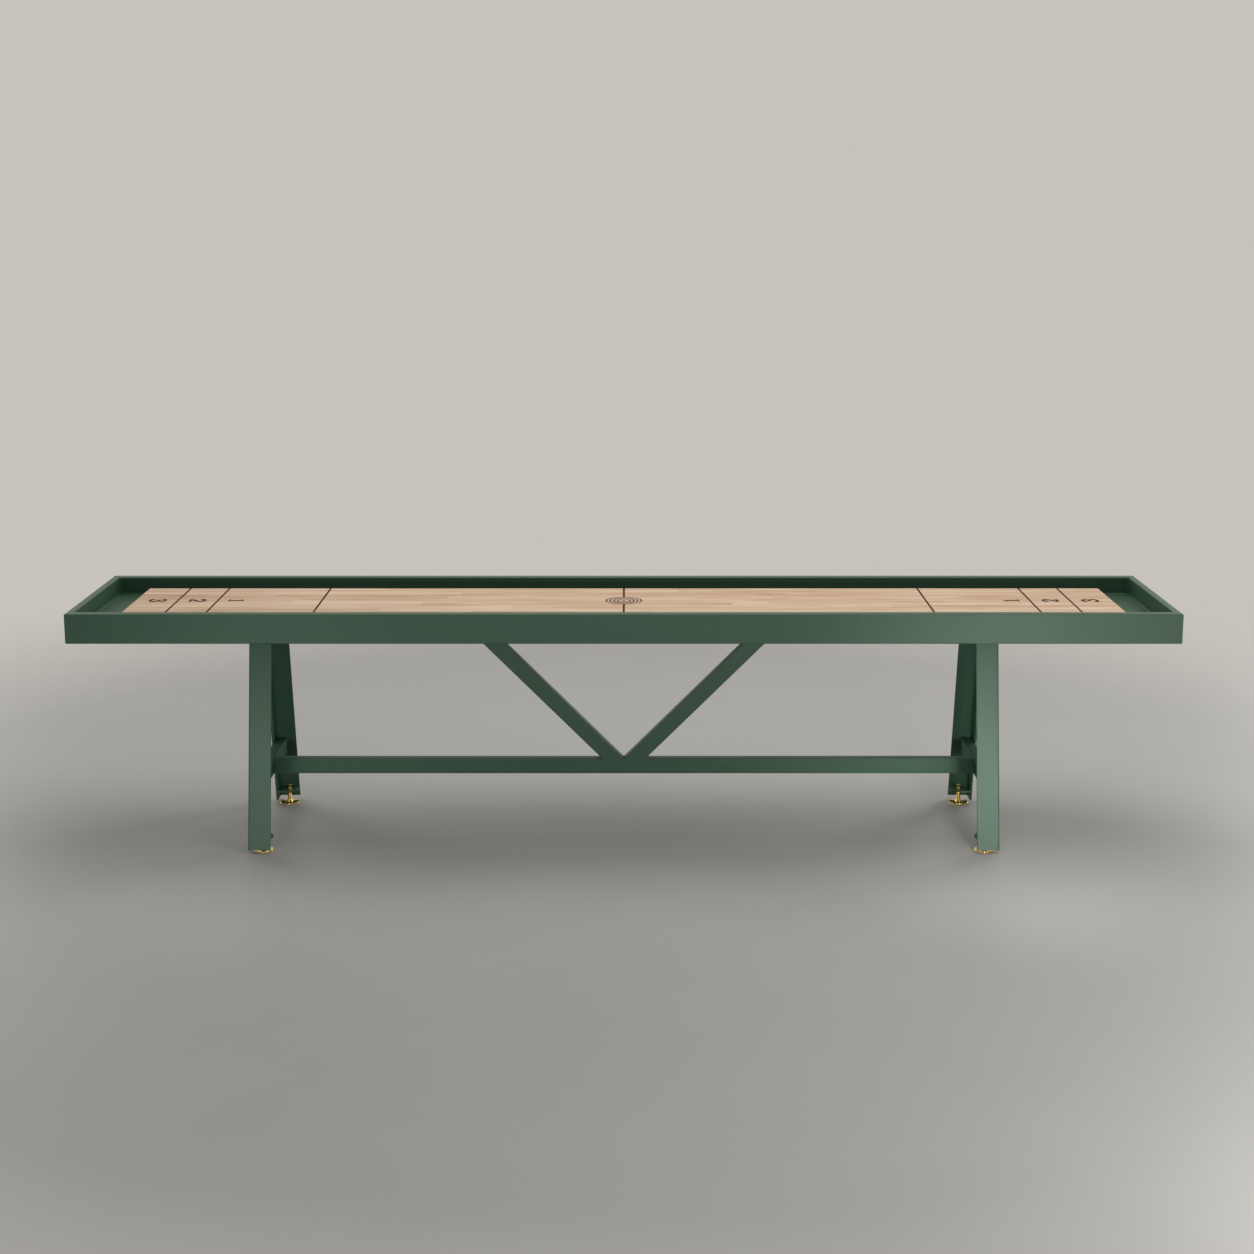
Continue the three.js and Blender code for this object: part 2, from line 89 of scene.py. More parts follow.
class Slot(Enum):
    """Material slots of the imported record."""

    GREEN_COAT = "green_coat"
    MAPLE = "maple"
    BRASS = "brass"
    ZINC_STEEL = "zinc_steel"


class Side(Enum):
    """Sides of the table, by the sign of one axis."""

    @property
    def word(self) -> str:
        """The side's name as it stands in piece names."""
        return self.name.lower()


class End(Side):
    """The two ends of the table, by the sign of X."""

    LEFT = -1
    RIGHT = 1

    @property
    def outward(self) -> Vector:
        """The direction from the middle of the table to this end."""
        return Vector((self.value, 0, 0))


class Row(Side):
    """The two long sides of the table, by the sign of Y."""

    FRONT = -1
    REAR = 1

    @property
    def outward(self) -> Vector:
        """The direction from the middle of the table to this side."""
        return Vector((0, self.value, 0))


class Sum(Enum):
    """Operations of the Math node that expressions use."""

    ADD = "ADD"
    SUBTRACT = "SUBTRACT"
    MULTIPLY = "MULTIPLY"
    ABSOLUTE = "ABSOLUTE"
    SINE = "SINE"
    SQRT = "SQRT"
    MINIMUM = "MINIMUM"
    MAXIMUM = "MAXIMUM"
    GREATER = "GREATER_THAN"


def paint(red: int, green: int, blue: int) -> Colour:
    """Turns a colour as seen on a screen into the linear colour that shaders take.

    Args:
        red: the red part, from 0 to 255.
        green: the green part, from 0 to 255.
        blue: the blue part, from 0 to 255.

    Returns:
        The linear colour with full alpha.
    """

    def linear(part: int) -> float:
        """One part of the colour by the usual screen curve."""
        share = part / 255
        return share / 12.92 if share <= 0.04045 else ((share + 0.055) / 1.055) ** 2.4

    return linear(red), linear(green), linear(blue), 1.0


class Wire:
    """A shader socket that takes part in Python arithmetic: each operation adds its Math node."""

    def __init__(self, sheet: NodeSheet, socket: bpy.types.NodeSocket) -> None:
        """Wraps an output socket of a node tree."""
        self.sheet = sheet
        self.socket = socket

    def _reckon(self, operation: Sum, *terms: float | Wire, clamp: bool = False) -> Wire:
        """Adds one Math node.

        Args:
            operation: what the node does.
            terms: its inputs in order.
            clamp: whether its result is kept between 0 and 1.

        Returns:
            The node's result.
        """
        settings = {"operation": operation.value, "use_clamp": clamp}
        made = self.sheet.node("ShaderNodeMath", settings, dict(enumerate(terms)))
        return Wire(self.sheet, made.outputs[0])

    def __add__(self, other: float | Wire) -> Wire:
        """Adds a value."""
        return self._reckon(Sum.ADD, self, other)

    def __radd__(self, other: float) -> Wire:
        """Is added to a number."""
        return self._reckon(Sum.ADD, other, self)

    def __sub__(self, other: float | Wire) -> Wire:
        """Takes a value away."""
        return self._reckon(Sum.SUBTRACT, self, other)

    def __rsub__(self, other: float) -> Wire:
        """Is taken away from a number."""
        return self._reckon(Sum.SUBTRACT, other, self)

    def __mul__(self, other: float | Wire) -> Wire:
        """Multiplies by a value."""
        return self._reckon(Sum.MULTIPLY, self, other)

    def __rmul__(self, other: float) -> Wire:
        """Multiplies a number."""
        return self._reckon(Sum.MULTIPLY, other, self)

    def __gt__(self, other: float | Wire) -> Wire:
        """Gives 1 where it is greater than a value, and 0 elsewhere."""
        return self._reckon(Sum.GREATER, self, other)

    def __lt__(self, other: float | Wire) -> Wire:
        """Gives 1 where it is less than a value, and 0 elsewhere."""
        return self._reckon(Sum.GREATER, other, self)

    def __abs__(self) -> Wire:
        """Drops the sign."""
        return self._reckon(Sum.ABSOLUTE, self)

    def wave(self, length: float) -> Wire:
        """A sine wave from 0 to 1 that repeats after a length."""
        return self._reckon(Sum.SINE, self * (math.tau / length)) * 0.5 + 0.5

    def root(self) -> Wire:
        """The square root."""
        return self._reckon(Sum.SQRT, self)

    def least(self, other: float | Wire) -> Wire:
        """The smaller of two values."""
        return self._reckon(Sum.MINIMUM, self, other)

    def most(self, other: float | Wire) -> Wire:
        """The larger of two values."""
        return self._reckon(Sum.MAXIMUM, self, other)

    def held(self) -> Wire:
        """The value kept between 0 and 1."""
        return self._reckon(Sum.ADD, self, 0.0, clamp=True)

    def centred(self) -> Wire:
        """The value measured from one half, which is the middle of a noise."""
        return self - 0.5

    def between(self, low: float, high: float) -> Wire:
        """A straight ramp that is 0 below one value and 1 above another."""
        return ((self - low) * (1 / (high - low))).held()


@dataclass(frozen=True)
class Grain:
    """Soft noise: its bumps to a metre, its finer octaves, and how strong those are."""

    scale: float
    octaves: float = 2.0
    rough: float = 0.5


@dataclass(frozen=True)
class WoodGrain:
    """Soft noise drawn out along wood: its bumps to a metre both ways, and its finer octaves."""

    along: float
    across: float
    octaves: float = 2.0
    rough: float = 0.5
    scale: float = 1.0


class NodeSheet:
    """A node tree, with the few kinds of node that the finishes and the backdrop use."""

    MIX_FACTOR, MIX_FIRST, MIX_SECOND, MIX_RESULT = 0, 6, 7, 2

    def __init__(self, tree: bpy.types.NodeTree) -> None:
        """Starts with a tree whose own nodes are dropped."""
        self.tree = tree
        self.tree.nodes.clear()

    def node(
        self, kind: str, settings: dict[str, object], inputs: dict[str | int, object]
    ) -> bpy.types.Node:
        """Adds one node.

        Args:
            kind: the node's type.
            settings: its properties, set before its sockets; "stops" are a ramp's places and colours.
            inputs: the values or wires of its sockets, by name or number.

        Returns:
            The new node.
        """
        made = self.tree.nodes.new(kind)
        for name, value in settings.items():
            if name == "stops":
                self._set_stops(made.color_ramp, value)
            else:
                setattr(made, name, value)
        for key, value in inputs.items():
            if isinstance(value, Wire):
                self.tree.links.new(value.socket, made.inputs[key])
            else:
                made.inputs[key].default_value = value
        return made

    @staticmethod
    def _set_stops(ramp: bpy.types.ColorRamp, stops: Sequence[tuple[float, Colour]]) -> None:
        """Gives a new colour ramp its stops.

        Args:
            ramp: the ramp, which has two stops when it is new.
            stops: the place and the colour of each stop, two or more.
        """
        for place, _ in stops[2:]:
            ramp.elements.new(place)
        for element, (place, colour) in zip(ramp.elements, stops, strict=True):
            element.position = place
            element.color = colour

    def wire(self, kind: str, settings: dict, inputs: dict, output: str | int = 0) -> Wire:
        """Adds a node and wraps one of its outputs."""
        return Wire(self, self.node(kind, settings, inputs).outputs[output])

    def place(self) -> Wire:
        """The point of the surface in the piece's own frame."""
        return self.wire("ShaderNodeTexCoord", {}, {}, "Object")

    def facing(self) -> Wire:
        """The direction that the surface faces."""
        return self.wire("ShaderNodeNewGeometry", {}, {}, "Normal")

    def light_path(self, question: str) -> Wire:
        """One of the Light Path node's answers, which is 0 or 1."""
        return self.wire("ShaderNodeLightPath", {}, {}, question)

    def attribute(self, name: str) -> Wire:
        """A number that the mesh carries."""
        return self.wire("ShaderNodeAttribute", {"attribute_name": name}, {}, "Fac")

    def flat_place(self, name: str) -> Wire:
        """A place on one of the mesh's flat maps."""
        return self.wire("ShaderNodeUVMap", {"uv_map": name}, {})

    def parts(self, vector: Wire) -> tuple[Wire, Wire, Wire]:
        """The three parts of a vector."""
        first, second, third = self.node("ShaderNodeSeparateXYZ", {}, {0: vector}).outputs
        return Wire(self, first), Wire(self, second), Wire(self, third)

    def vector(self, first: float | Wire, second: float | Wire, third: float | Wire) -> Wire:
        """Puts a vector together from its three parts."""
        return self.wire("ShaderNodeCombineXYZ", {}, {0: first, 1: second, 2: third})

    def noise(self, where: Wire, grain: Grain | WoodGrain) -> Wire:
        """Soft noise round one half.

        Args:
            where: the place that the noise is read at, drawn out already where the grain is wood.
            grain: its bumps and its octaves.

        Returns:
            The noise.
        """
        inputs = {
            "Vector": where, "Scale": grain.scale, "Detail": grain.octaves, "Roughness": grain.rough,
        }
        return self.wire("ShaderNodeTexNoise", {}, inputs, "Fac")

    def ramp(self, along: Wire, stops: Sequence[tuple[float, Colour]]) -> Wire:
        """A colour from a row of stops."""
        return self.wire("ShaderNodeValToRGB", {"stops": stops}, {0: along}, "Color")

    def mix(self, share: float | Wire, first: Colour | Wire, second: Colour | Wire) -> Wire:
        """Blends two colours, by the share of the second."""
        inputs = {self.MIX_FACTOR: share, self.MIX_FIRST: first, self.MIX_SECOND: second}
        return self.wire("ShaderNodeMix", {"data_type": "RGBA"}, inputs, self.MIX_RESULT)

    def bump(self, height: Wire, distance: float) -> Wire:
        """A normal that leans as a height map from 0 to 1 says, with 1 at a distance above 0."""
        return self.wire("ShaderNodeBump", {}, {"Height": height, "Distance": distance})


class ShaderSheet(NodeSheet):
    """The node tree of one new material."""

    def __init__(self, name: str) -> None:
        """Starts an empty material.

        Args:
            name: the material's name.
        """
        self.material = bpy.data.materials.new(name)
        self.material.use_nodes = True
        super().__init__(self.material.node_tree)

    def close(self, shader: Wire) -> Material:
        """Ends the tree with one shader and returns the material."""
        self.node("ShaderNodeOutputMaterial", {}, {"Surface": shader})
        return self.material

    def surface(
        self, colour: Wire, roughness: Wire, normal: Wire, specular: float = 0.5, metallic: float = 0.0
    ) -> Material:
        """Ends the tree with one principled surface.

        Args:
            colour: the base colour.
            roughness: how rough it is, from 0 to 1.
            normal: its normal.
            specular: how strongly it reflects, where one half is usual.
            metallic: 1 for bare metal.

        Returns:
            The finished material.
        """
        inputs = {
            "Base Color": colour, "Roughness": roughness, "Normal": normal,
            "Specular IOR Level": specular, "Metallic": metallic,
        }
        return self.close(self.wire("ShaderNodeBsdfPrincipled", {}, inputs))


@dataclass(frozen=True)
class PowderCoat:
    """Satin green powder coat: a fine orange peel, with a slow drift of tone and a little dust."""

    name: str = "satin_green_powder_coat"
    deep: Colour = paint(47, 79, 58)
    fresh: Colour = paint(58, 90, 69)
    dust: Colour = paint(146, 152, 140)
    drift: Grain = Grain(1.7, 3.0)
    cloud: Grain = Grain(26.0, 4.0, 0.6)
    peel: Grain = Grain(420.0)
    speckle: Grain = Grain(2300.0, 1.0)
    drift_tone: float = 0.9
    cloud_tone: float = 0.35
    speckle_tone: float = 0.3
    tone_drop: float = 0.3
    dust_share: float = 0.05
    dusty_upward: Plan = (0.6, 1.0)
    dusty_cloud: Plan = (0.35, 0.7)
    roughness: float = 0.46
    drift_sheen: float = 0.12
    cloud_sheen: float = 0.08
    specular: float = 0.34
    peel_height: float = 0.03 * MM
    peel_share: float = 0.8

    def build(self) -> Material:
        """Makes the material.

        Returns:
            The powder coat.
        """
        sheet = ShaderSheet(self.name)
        place = sheet.place()
        drift, cloud = sheet.noise(place, self.drift), sheet.noise(place, self.cloud)
        peel, speckle = sheet.noise(place, self.peel), sheet.noise(place, self.speckle)
        tone = drift * self.drift_tone + cloud * self.cloud_tone + speckle * self.speckle_tone
        coat = sheet.mix((tone - self.tone_drop).held(), self.deep, self.fresh)
        _, _, upward = sheet.parts(sheet.facing())
        settled = upward.between(*self.dusty_upward) * cloud.between(*self.dusty_cloud)
        colour = sheet.mix(settled * self.dust_share, coat, self.dust)
        sheen = drift.centred() * self.drift_sheen + cloud.centred() * self.cloud_sheen
        height = peel * self.peel_share + speckle * (1 - self.peel_share)
        normal = sheet.bump(height, self.peel_height)
        return sheet.surface(colour, sheen + self.roughness, normal, self.specular)


@dataclass(frozen=True)
class LacqueredMaple:
    """Hard maple under a satin lacquer, with each lamella's own tone, figure, rings and flecks."""

    name: str = "lacquered_maple"
    cream: Colour = paint(234, 206, 177)
    honey: Colour = paint(217, 183, 151)
    tan: Colour = paint(198, 157, 121)
    heart: Colour = paint(158, 118, 88)
    glue: Colour = paint(140, 107, 82)
    end_tint: Colour = paint(152, 119, 91)
    honey_depth: float = 0.4
    tan_depth: float = 0.78
    seed_shift: float = 60.0
    sway: WoodGrain = WoodGrain(1.1, 7.0)
    figure: WoodGrain = WoodGrain(3.4, 27.0, 3.0, 0.55)
    streak: WoodGrain = WoodGrain(1.3, 110.0, 4.0, 0.62)
    fibre: WoodGrain = WoodGrain(14.0, 1500.0)
    vein: WoodGrain = WoodGrain(0.8, 190.0)
    fleck: WoodGrain = WoodGrain(70.0, 520.0, 1.0)
    sway_reach: float = 9.0 * MM
    lean: float = 0.45
    base_depth: float = 0.1
    tone_depth: float = 0.62
    figure_depth: float = 1.5
    streak_depth: float = 1.0
    ring_depth: float = 0.13
    fibre_depth: float = 0.2
    fleck_range: Plan = (0.66, 0.74)
    fleck_share: float = 0.3
    vein_range: Plan = (0.64, 0.76)
    vein_share: float = 0.4
    end_range: Plan = (0.75, 0.95)
    end_share: float = 0.4
    end_ring_share: float = 0.35
    glue_width: float = 0.35 * MM
    glue_share: float = 0.55
    ring_spacing: float = 5.2 * MM
    ring_waver: float = 5.0
    arch_slope: float = 0.03
    arch_lean: float = 0.02
    flat_sawn_above: float = 0.55
    tip_nearest: float = 0.1
    tip_spread: float = 0.9
    pith_nearest_share: float = 0.1
    pith_spread_share: float = 0.6
    roughness: float = 0.4
    streak_sheen: float = 0.12
    fleck_sheen: float = 0.06
    specular: float = 0.18
    fibre_height: float = 0.02 * MM
    fibre_share: float = 0.7

    def build(self, lamella_width: float) -> Material:
        """Makes the material.

        Args:
            lamella_width: the width of one strip of the board.

        Returns:
            The lacquered wood.
        """
        sheet = ShaderSheet(self.name)
        x, y, z = sheet.parts(sheet.place())
        seed = sheet.attribute(SEED_LAYER)
        shift = seed * self.seed_shift
        along, inside, _ = sheet.parts(sheet.flat_place(FLAT_MAP))
        wide = self.sway.across
        swayed = sheet.vector(x * self.sway.along + shift, y * wide + shift, z * wide)
        across = y + z * self.lean + sheet.noise(swayed, self.sway).centred() * self.sway_reach

        def drawn(grain: WoodGrain, depth: Wire) -> Wire:
            """Noise along the wood that differs between lamellas."""
            where = sheet.vector(x * grain.along + shift, across * grain.across, depth)
            return sheet.noise(where, grain)

        figure, streak = drawn(self.figure, shift), drawn(self.streak, shift)
        fibre = drawn(self.fibre, z * self.fibre.across)
        fleck = drawn(self.fleck, z * self.fleck.across).between(*self.fleck_range)
        vein = drawn(self.vein, shift).between(*self.vein_range)
        arch = self._arch(across, along, inside, seed, lamella_width)
        ring = (arch + streak * (self.ring_waver * self.ring_spacing / math.tau)).wave(self.ring_spacing)
        depth = sheet.attribute(TONE_LAYER) * self.tone_depth + self.base_depth
        depth = depth + figure.centred() * self.figure_depth + streak.centred() * self.streak_depth
        depth = depth + ring.centred() * self.ring_depth + fibre.centred() * self.fibre_depth
        tones = [
            (0.0, self.cream), (self.honey_depth, self.honey), (self.tan_depth, self.tan), (1.0, self.heart),
        ]
        wood = sheet.ramp(depth.held(), tones)
        wood = sheet.mix(fleck * self.fleck_share, wood, self.tan)
        wood = sheet.mix(vein * self.vein_share, wood, self.heart)
        normal_x, _, _ = sheet.parts(sheet.facing())
        end_face = abs(normal_x).between(*self.end_range)
        wood = sheet.mix(end_face * (ring * self.end_ring_share + self.end_share), wood, self.end_tint)
        near = inside.least(lamella_width - inside).least(along)
        joint = 1 - near.between(self.glue_width / 2, self.glue_width)
        wood = sheet.mix(joint * (1 - end_face) * self.glue_share, wood, self.glue)
        height = fibre * self.fibre_share + streak * (1 - self.fibre_share)
        sheen = streak.centred() * self.streak_sheen + fleck * self.fleck_sheen
        normal = sheet.bump(height, self.fibre_height)
        return sheet.surface(wood, sheen + self.roughness, normal, self.specular)

    def _arch(self, across: Wire, along: Wire, inside: Wire, seed: Wire, width: float) -> Wire:
        """Where a point lies across the growth rings, which are nested arches in flat-sawn lamellas.

        Args:
            across: the place across the grain.
            along: the distance from the lamella's left end.
            inside: the distance from the lamella's front edge.
            seed: the lamella's own number, from 0 to 1.
            width: the width of one strip.

        Returns:
            The place across the rings.
        """
        from_tip = (along - (seed * self.tip_spread + self.tip_nearest)) * self.arch_slope
        pith = seed * self.pith_spread_share + self.pith_nearest_share
        from_pith = inside - pith * width + (across - inside) * self.arch_lean
        arch = (from_tip * from_tip + from_pith * from_pith).root()
        return across + (arch - across) * (seed > self.flat_sawn_above)


@dataclass(frozen=True)
class Stain:
    """A mark let into the board's lacquer, a little uneven where the grain took it."""

    name: str
    colour: Colour
    worn: Colour
    grain: WoodGrain = WoodGrain(9.0, 240.0, 4.0, 0.6)
    worn_range: Plan = (0.42, 0.78)
    worn_share: float = 0.55
    roughness: float = 0.46
    grain_sheen: float = 0.1
    grain_height: float = 0.02 * MM
    specular: float = 0.04

    def build(self) -> Material:
        """Makes the material.

        Returns:
            The stain.
        """
        sheet = ShaderSheet(self.name)
        x, y, z = sheet.parts(sheet.place())
        grain = sheet.noise(sheet.vector(x * self.grain.along, y * self.grain.across, z), self.grain)
        worn = grain.between(*self.worn_range) * self.worn_share
        colour = sheet.mix(worn, self.colour, self.worn)
        normal = sheet.bump(grain, self.grain_height)
        return sheet.surface(colour, grain * self.grain_sheen + self.roughness, normal, self.specular)


@dataclass(frozen=True)
class PolishedBrass:
    """Lathe-turned brass, more or less polished, with faint tool rings about the piece's own axis."""

    name: str
    roughness: float
    bright: Colour = paint(246, 216, 138)
    warm: Colour = paint(228, 188, 100)
    tarnish: Grain = Grain(90.0, 4.0, 0.6)
    wipe: Grain = Grain(900.0)
    warm_range: Plan = (0.3, 0.75)
    tarnish_sheen: float = 0.06
    wipe_sheen: float = 0.03
    ring_spacing: float = 0.45 * MM
    ring_height: float = 0.006 * MM
    ring_share: float = 0.7

    def build(self) -> Material:
        """Makes the material.

        Returns:
            The brass.
        """
        sheet = ShaderSheet(self.name)
        place = sheet.place()
        x, y, z = sheet.parts(place)
        tarnish, wipe = sheet.noise(place, self.tarnish), sheet.noise(place, self.wipe)
        colour = sheet.mix(tarnish.between(*self.warm_range), self.bright, self.warm)
        sheen = tarnish * self.tarnish_sheen + wipe * self.wipe_sheen
        turning = ((x * x + y * y).root() + z).wave(self.ring_spacing)
        height = turning * self.ring_share + wipe * (1 - self.ring_share)
        normal = sheet.bump(height, self.ring_height)
        return sheet.surface(colour, sheen + self.roughness, normal, metallic=1.0)


@dataclass(frozen=True)
class ZincPlate:
    """Bright zinc plate on steel fasteners, clouded and slightly grained."""

    name: str = "zinc_plate"
    bright: Colour = paint(196, 198, 200)
    dull: Colour = paint(150, 152, 152)
    cloud: Grain = Grain(160.0, 4.0, 0.65)
    grain: Grain = Grain(2600.0, 1.0)
    dull_range: Plan = (0.3, 0.7)
    roughness: float = 0.28
    cloud_sheen: float = 0.2
    grain_height: float = 0.012 * MM
    grain_share: float = 0.6

    def build(self) -> Material:
        """Makes the material.

        Returns:
            The zinc plate.
        """
        sheet = ShaderSheet(self.name)
        place = sheet.place()
        cloud, grain = sheet.noise(place, self.cloud), sheet.noise(place, self.grain)
        colour = sheet.mix(cloud.between(*self.dull_range), self.bright, self.dull)
        height = grain * self.grain_share + cloud * (1 - self.grain_share)
        normal = sheet.bump(height, self.grain_height)
        return sheet.surface(colour, cloud * self.cloud_sheen + self.roughness, normal, metallic=1.0)


@dataclass(frozen=True)
class StudioFloor:
    """A plain pale floor that fades into the backdrop and isn't seen from below."""

    name: str = "pale_studio_floor"
    colour: Colour = paint(181, 179, 174)
    mottled: Colour = paint(167, 165, 161)
    mottle: Grain = Grain(3.0, 4.0, 0.6)
    mottle_share: float = 0.3
    roughness: float = 0.5
    specular: float = 0.25
    fade_range: Plan = (2.9, 4.9)

    def build(self) -> Material:
        """Makes the material.

        Returns:
            The floor.
        """
        sheet = ShaderSheet(self.name)
        place = sheet.place()
        x, y, _ = sheet.parts(place)
        far = (x * x + y * y).root().between(*self.fade_range)
        colour = sheet.mix(sheet.noise(place, self.mottle) * self.mottle_share, self.colour, self.mottled)
        look = {"Base Color": colour, "Roughness": self.roughness, "Specular IOR Level": self.specular}
        ground = sheet.wire("ShaderNodeBsdfPrincipled", {}, look)
        clear = sheet.wire("ShaderNodeBsdfTransparent", {}, {})
        below = sheet.wire("ShaderNodeNewGeometry", {}, {}, "Backfacing")
        shaders = {0: far.most(below), 1: ground, 2: clear}
        return sheet.close(sheet.wire("ShaderNodeMixShader", {}, shaders))


def polar(radius: float, angle: float, height: float) -> Vector:
    """The point at a distance from the Z axis, an angle about it, and a height."""
    return Vector((radius * math.cos(angle), radius * math.sin(angle), height))


def quarter_angles(steps: int) -> list[float]:
    """Angles from nothing to a quarter turn, both included."""
    return [QUARTER_TURN * step / steps for step in range(steps + 1)]


def at(end: End, row: Row, x: float, y: float, z: float) -> Vector:
    """The point at distances from the table's middle planes, on one end and one side, and a height."""
    return Vector((end.value * x, row.value * y, z))


def ring_skin(rings: Sequence[Sequence[Vector]]) -> Shape:
    """Joins closed rings of points into one closed skin.

    Args:
        rings: rings with the same number of points each, in order.

    Returns:
        The skin, with a face across the first and the last ring.
    """
    shape = bmesh.new()
    laid = [[shape.verts.new(point) for point in ring] for ring in rings]
    count = len(laid[0])
    for lower, upper in pairwise(laid):
        for index in range(count):
            after = (index + 1) % count
            shape.faces.new((lower[index], lower[after], upper[after], upper[index]))
    shape.faces.new(tuple(reversed(laid[0])))
    shape.faces.new(tuple(laid[-1]))
    bmesh.ops.recalc_face_normals(shape, faces=shape.faces)
    return shape


def turned(profile: Sequence[Plan], sides: int) -> Shape:
    """Turns a profile about Z.

    Args:
        profile: radius and height of each point; its ends lie on the axis or meet each other.
        sides: how many steps go round.

    Returns:
        The turned solid.
    """
    shape = bmesh.new()
    turns = [math.tau * step / sides for step in range(sides)]
    laid = [[shape.verts.new(polar(radius, turn, height)) for radius, height in profile] for turn in turns]
    for step, line in enumerate(laid):
        after = laid[(step + 1) % sides]
        for index in range(len(profile) - 1):
            shape.faces.new((line[index], after[index], after[index + 1], line[index + 1]))
    bmesh.ops.remove_doubles(shape, verts=shape.verts, dist=TOUCHING)
    bmesh.ops.recalc_face_normals(shape, faces=shape.faces)
    return shape


def slab(outline: Sequence[Plan], low: float, high: float) -> Shape:
    """A flat plate with the given outline, from one height to another."""
    return ring_skin([[Vector((x, y, z)) for x, y in outline] for z in (low, high)])


def block(low: Vector, high: Vector) -> Shape:
    """A block between two corners."""
    return slab([(low.x, low.y), (high.x, low.y), (high.x, high.y), (low.x, high.y)], low.z, high.z)


def gathered(shapes: Iterable[Shape]) -> Shape:
    """Puts several shapes into one.

    Args:
        shapes: the shapes, which are freed.

    Returns:
        The whole.
    """
    whole = bmesh.new()
    for shape in shapes:
        spare = bpy.data.meshes.new("spare")
        shape.to_mesh(spare)
        shape.free()
        whole.from_mesh(spare)
        bpy.data.meshes.remove(spare)
    return whole


def carved(shape: Shape, tool: Shape) -> Shape:
    """Cuts one shape out of another.

    Args:
        shape: what is cut.
        tool: what it is cut by.

    Returns:
        The cut shape; both inputs are freed.
    """
    holders = []
    for source in (shape, tool):
        mesh = bpy.data.meshes.new("carving")
        source.to_mesh(mesh)
        source.free()
        holder = bpy.data.objects.new("carving", mesh)
        bpy.context.scene.collection.objects.link(holder)
        holders.append(holder)
    cut = holders[0].modifiers.new("cut", "BOOLEAN")
    cut.operation = "DIFFERENCE"
    cut.solver = "EXACT"
    cut.object = holders[1]
    seen = holders[0].evaluated_get(bpy.context.evaluated_depsgraph_get())
    result = bmesh.new()
    result.from_mesh(seen.to_mesh())
    seen.to_mesh_clear()
    for holder in holders:
        mesh = holder.data
        bpy.data.objects.remove(holder)
        bpy.data.meshes.remove(mesh)
    return result


def soften(piece: bpy.types.Object) -> None:
    """Lets broad faces keep their own direction while the small ones between them turn smoothly.

    Args:
        piece: the object, which gets a modifier.
    """
    weighted = piece.modifiers.new("broad_faces", "WEIGHTED_NORMAL")
    weighted.mode = "FACE_AREA"
    weighted.weight = 100
    weighted.keep_sharp = True


@dataclass(frozen=True)
class Stock:
    """What a group of pieces shares: its material, the body it rides on and its slot in the record."""

    material: Material
    body: str = FRAME_BODY
    slot: Slot | None = None

    def make(
        self,
        name: str,
        shape: Shape,
        origin: Vector | None = None,
        crease_degrees: float = CREASE_DEGREES,
        stands_for: Sequence[str] = (),
    ) -> None:
        """Turns a shape into a dressed piece that rides on its body.

        Args:
            name: the piece's name.
            shape: the shape in the table's frame; it is freed.
            origin: the point that the piece's own frame is set at.
            crease_degrees: edges that turn by more than this stay sharp.
            stands_for: the nodes that the piece replaces.
        """
        place = origin or Vector()
        limit = math.radians(crease_degrees)
        for edge in shape.edges:
            edge.smooth = not edge.is_manifold or edge.calc_face_angle(0.0) < limit
        for face in shape.faces:
            face.smooth = True
        bmesh.ops.translate(shape, verts=shape.verts, vec=-place)
        mesh = bpy.data.meshes.new(name)
        shape.to_mesh(mesh)
        shape.free()
        mesh.materials.append(self.material)
        piece = bpy.data.objects.new(name, mesh)
        bpy.context.scene.collection.objects.link(piece)
        piece.location = place
        soften(piece)
        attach(piece, self.body)
        if stands_for:
            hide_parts(*stands_for)
        LOG.info("%s: %d faces", name, len(mesh.polygons))


@dataclass(frozen=True)
class Fillet:
    """A run of weld or seam in the corner between two faces, closed, with its back in the corner."""

    start: Vector
    end: Vector
    first_face: Vector
    second_face: Vector
    leg: float = 4.0 * MM
    crown: float = 0.62
    ripple_pitch: float = 2.4 * MM
    ripple_height: float = 0.22 * MM
    tip_share: float = 0.55
    facets: int = 5
    root: float = 0.3 * MM

    def ground(self) -> Shape:
        """A run that is ground smooth."""
        return ring_skin([self._ring(self.start, 1.0, 0.0), self._ring(self.end, 1.0, 0.0)])

    def rippled(self) -> Shape:
        """A run as it was welded, with ripples and thinner ends.

        Returns:
            The bead.
        """
        length = (self.end - self.start).length
        steps = 2 * max(2, round(length / self.ripple_pitch))
        rings = []
        for step in range(steps + 1):
            share = step / steps
            from_end = min(share, 1 - share) * length
            taper = min(1.0, self.tip_share + (1 - self.tip_share) * from_end / self.leg)
            swell = self.ripple_height * (step % 2)
            rings.append(self._ring(self.start.lerp(self.end, share), taper, swell))
        return ring_skin(rings)

    def _ring(self, middle: Vector, taper: float, swell: float) -> list[Vector]:
        """Lays one cross-section.

        Args:
            middle: the corner's point.
            taper: the share of full size here.
            swell: how far the face stands out here.

        Returns:
            The points of the section.
        """
        both = self.first_face + self.second_face
        outward = both.normalized()
        points = [middle - both * self.root]
        for angle in quarter_angles(self.facets):
            across, up = math.cos(angle), math.sin(angle)
            hollow = self.first_face * (1 - up) + self.second_face * (1 - across)
            full = self.first_face * across + self.second_face * up
            lift = outward * (swell * math.sin(2 * angle))
            points.append(middle + hollow.lerp(full, self.crown) * (self.leg * taper) + lift)
        return points


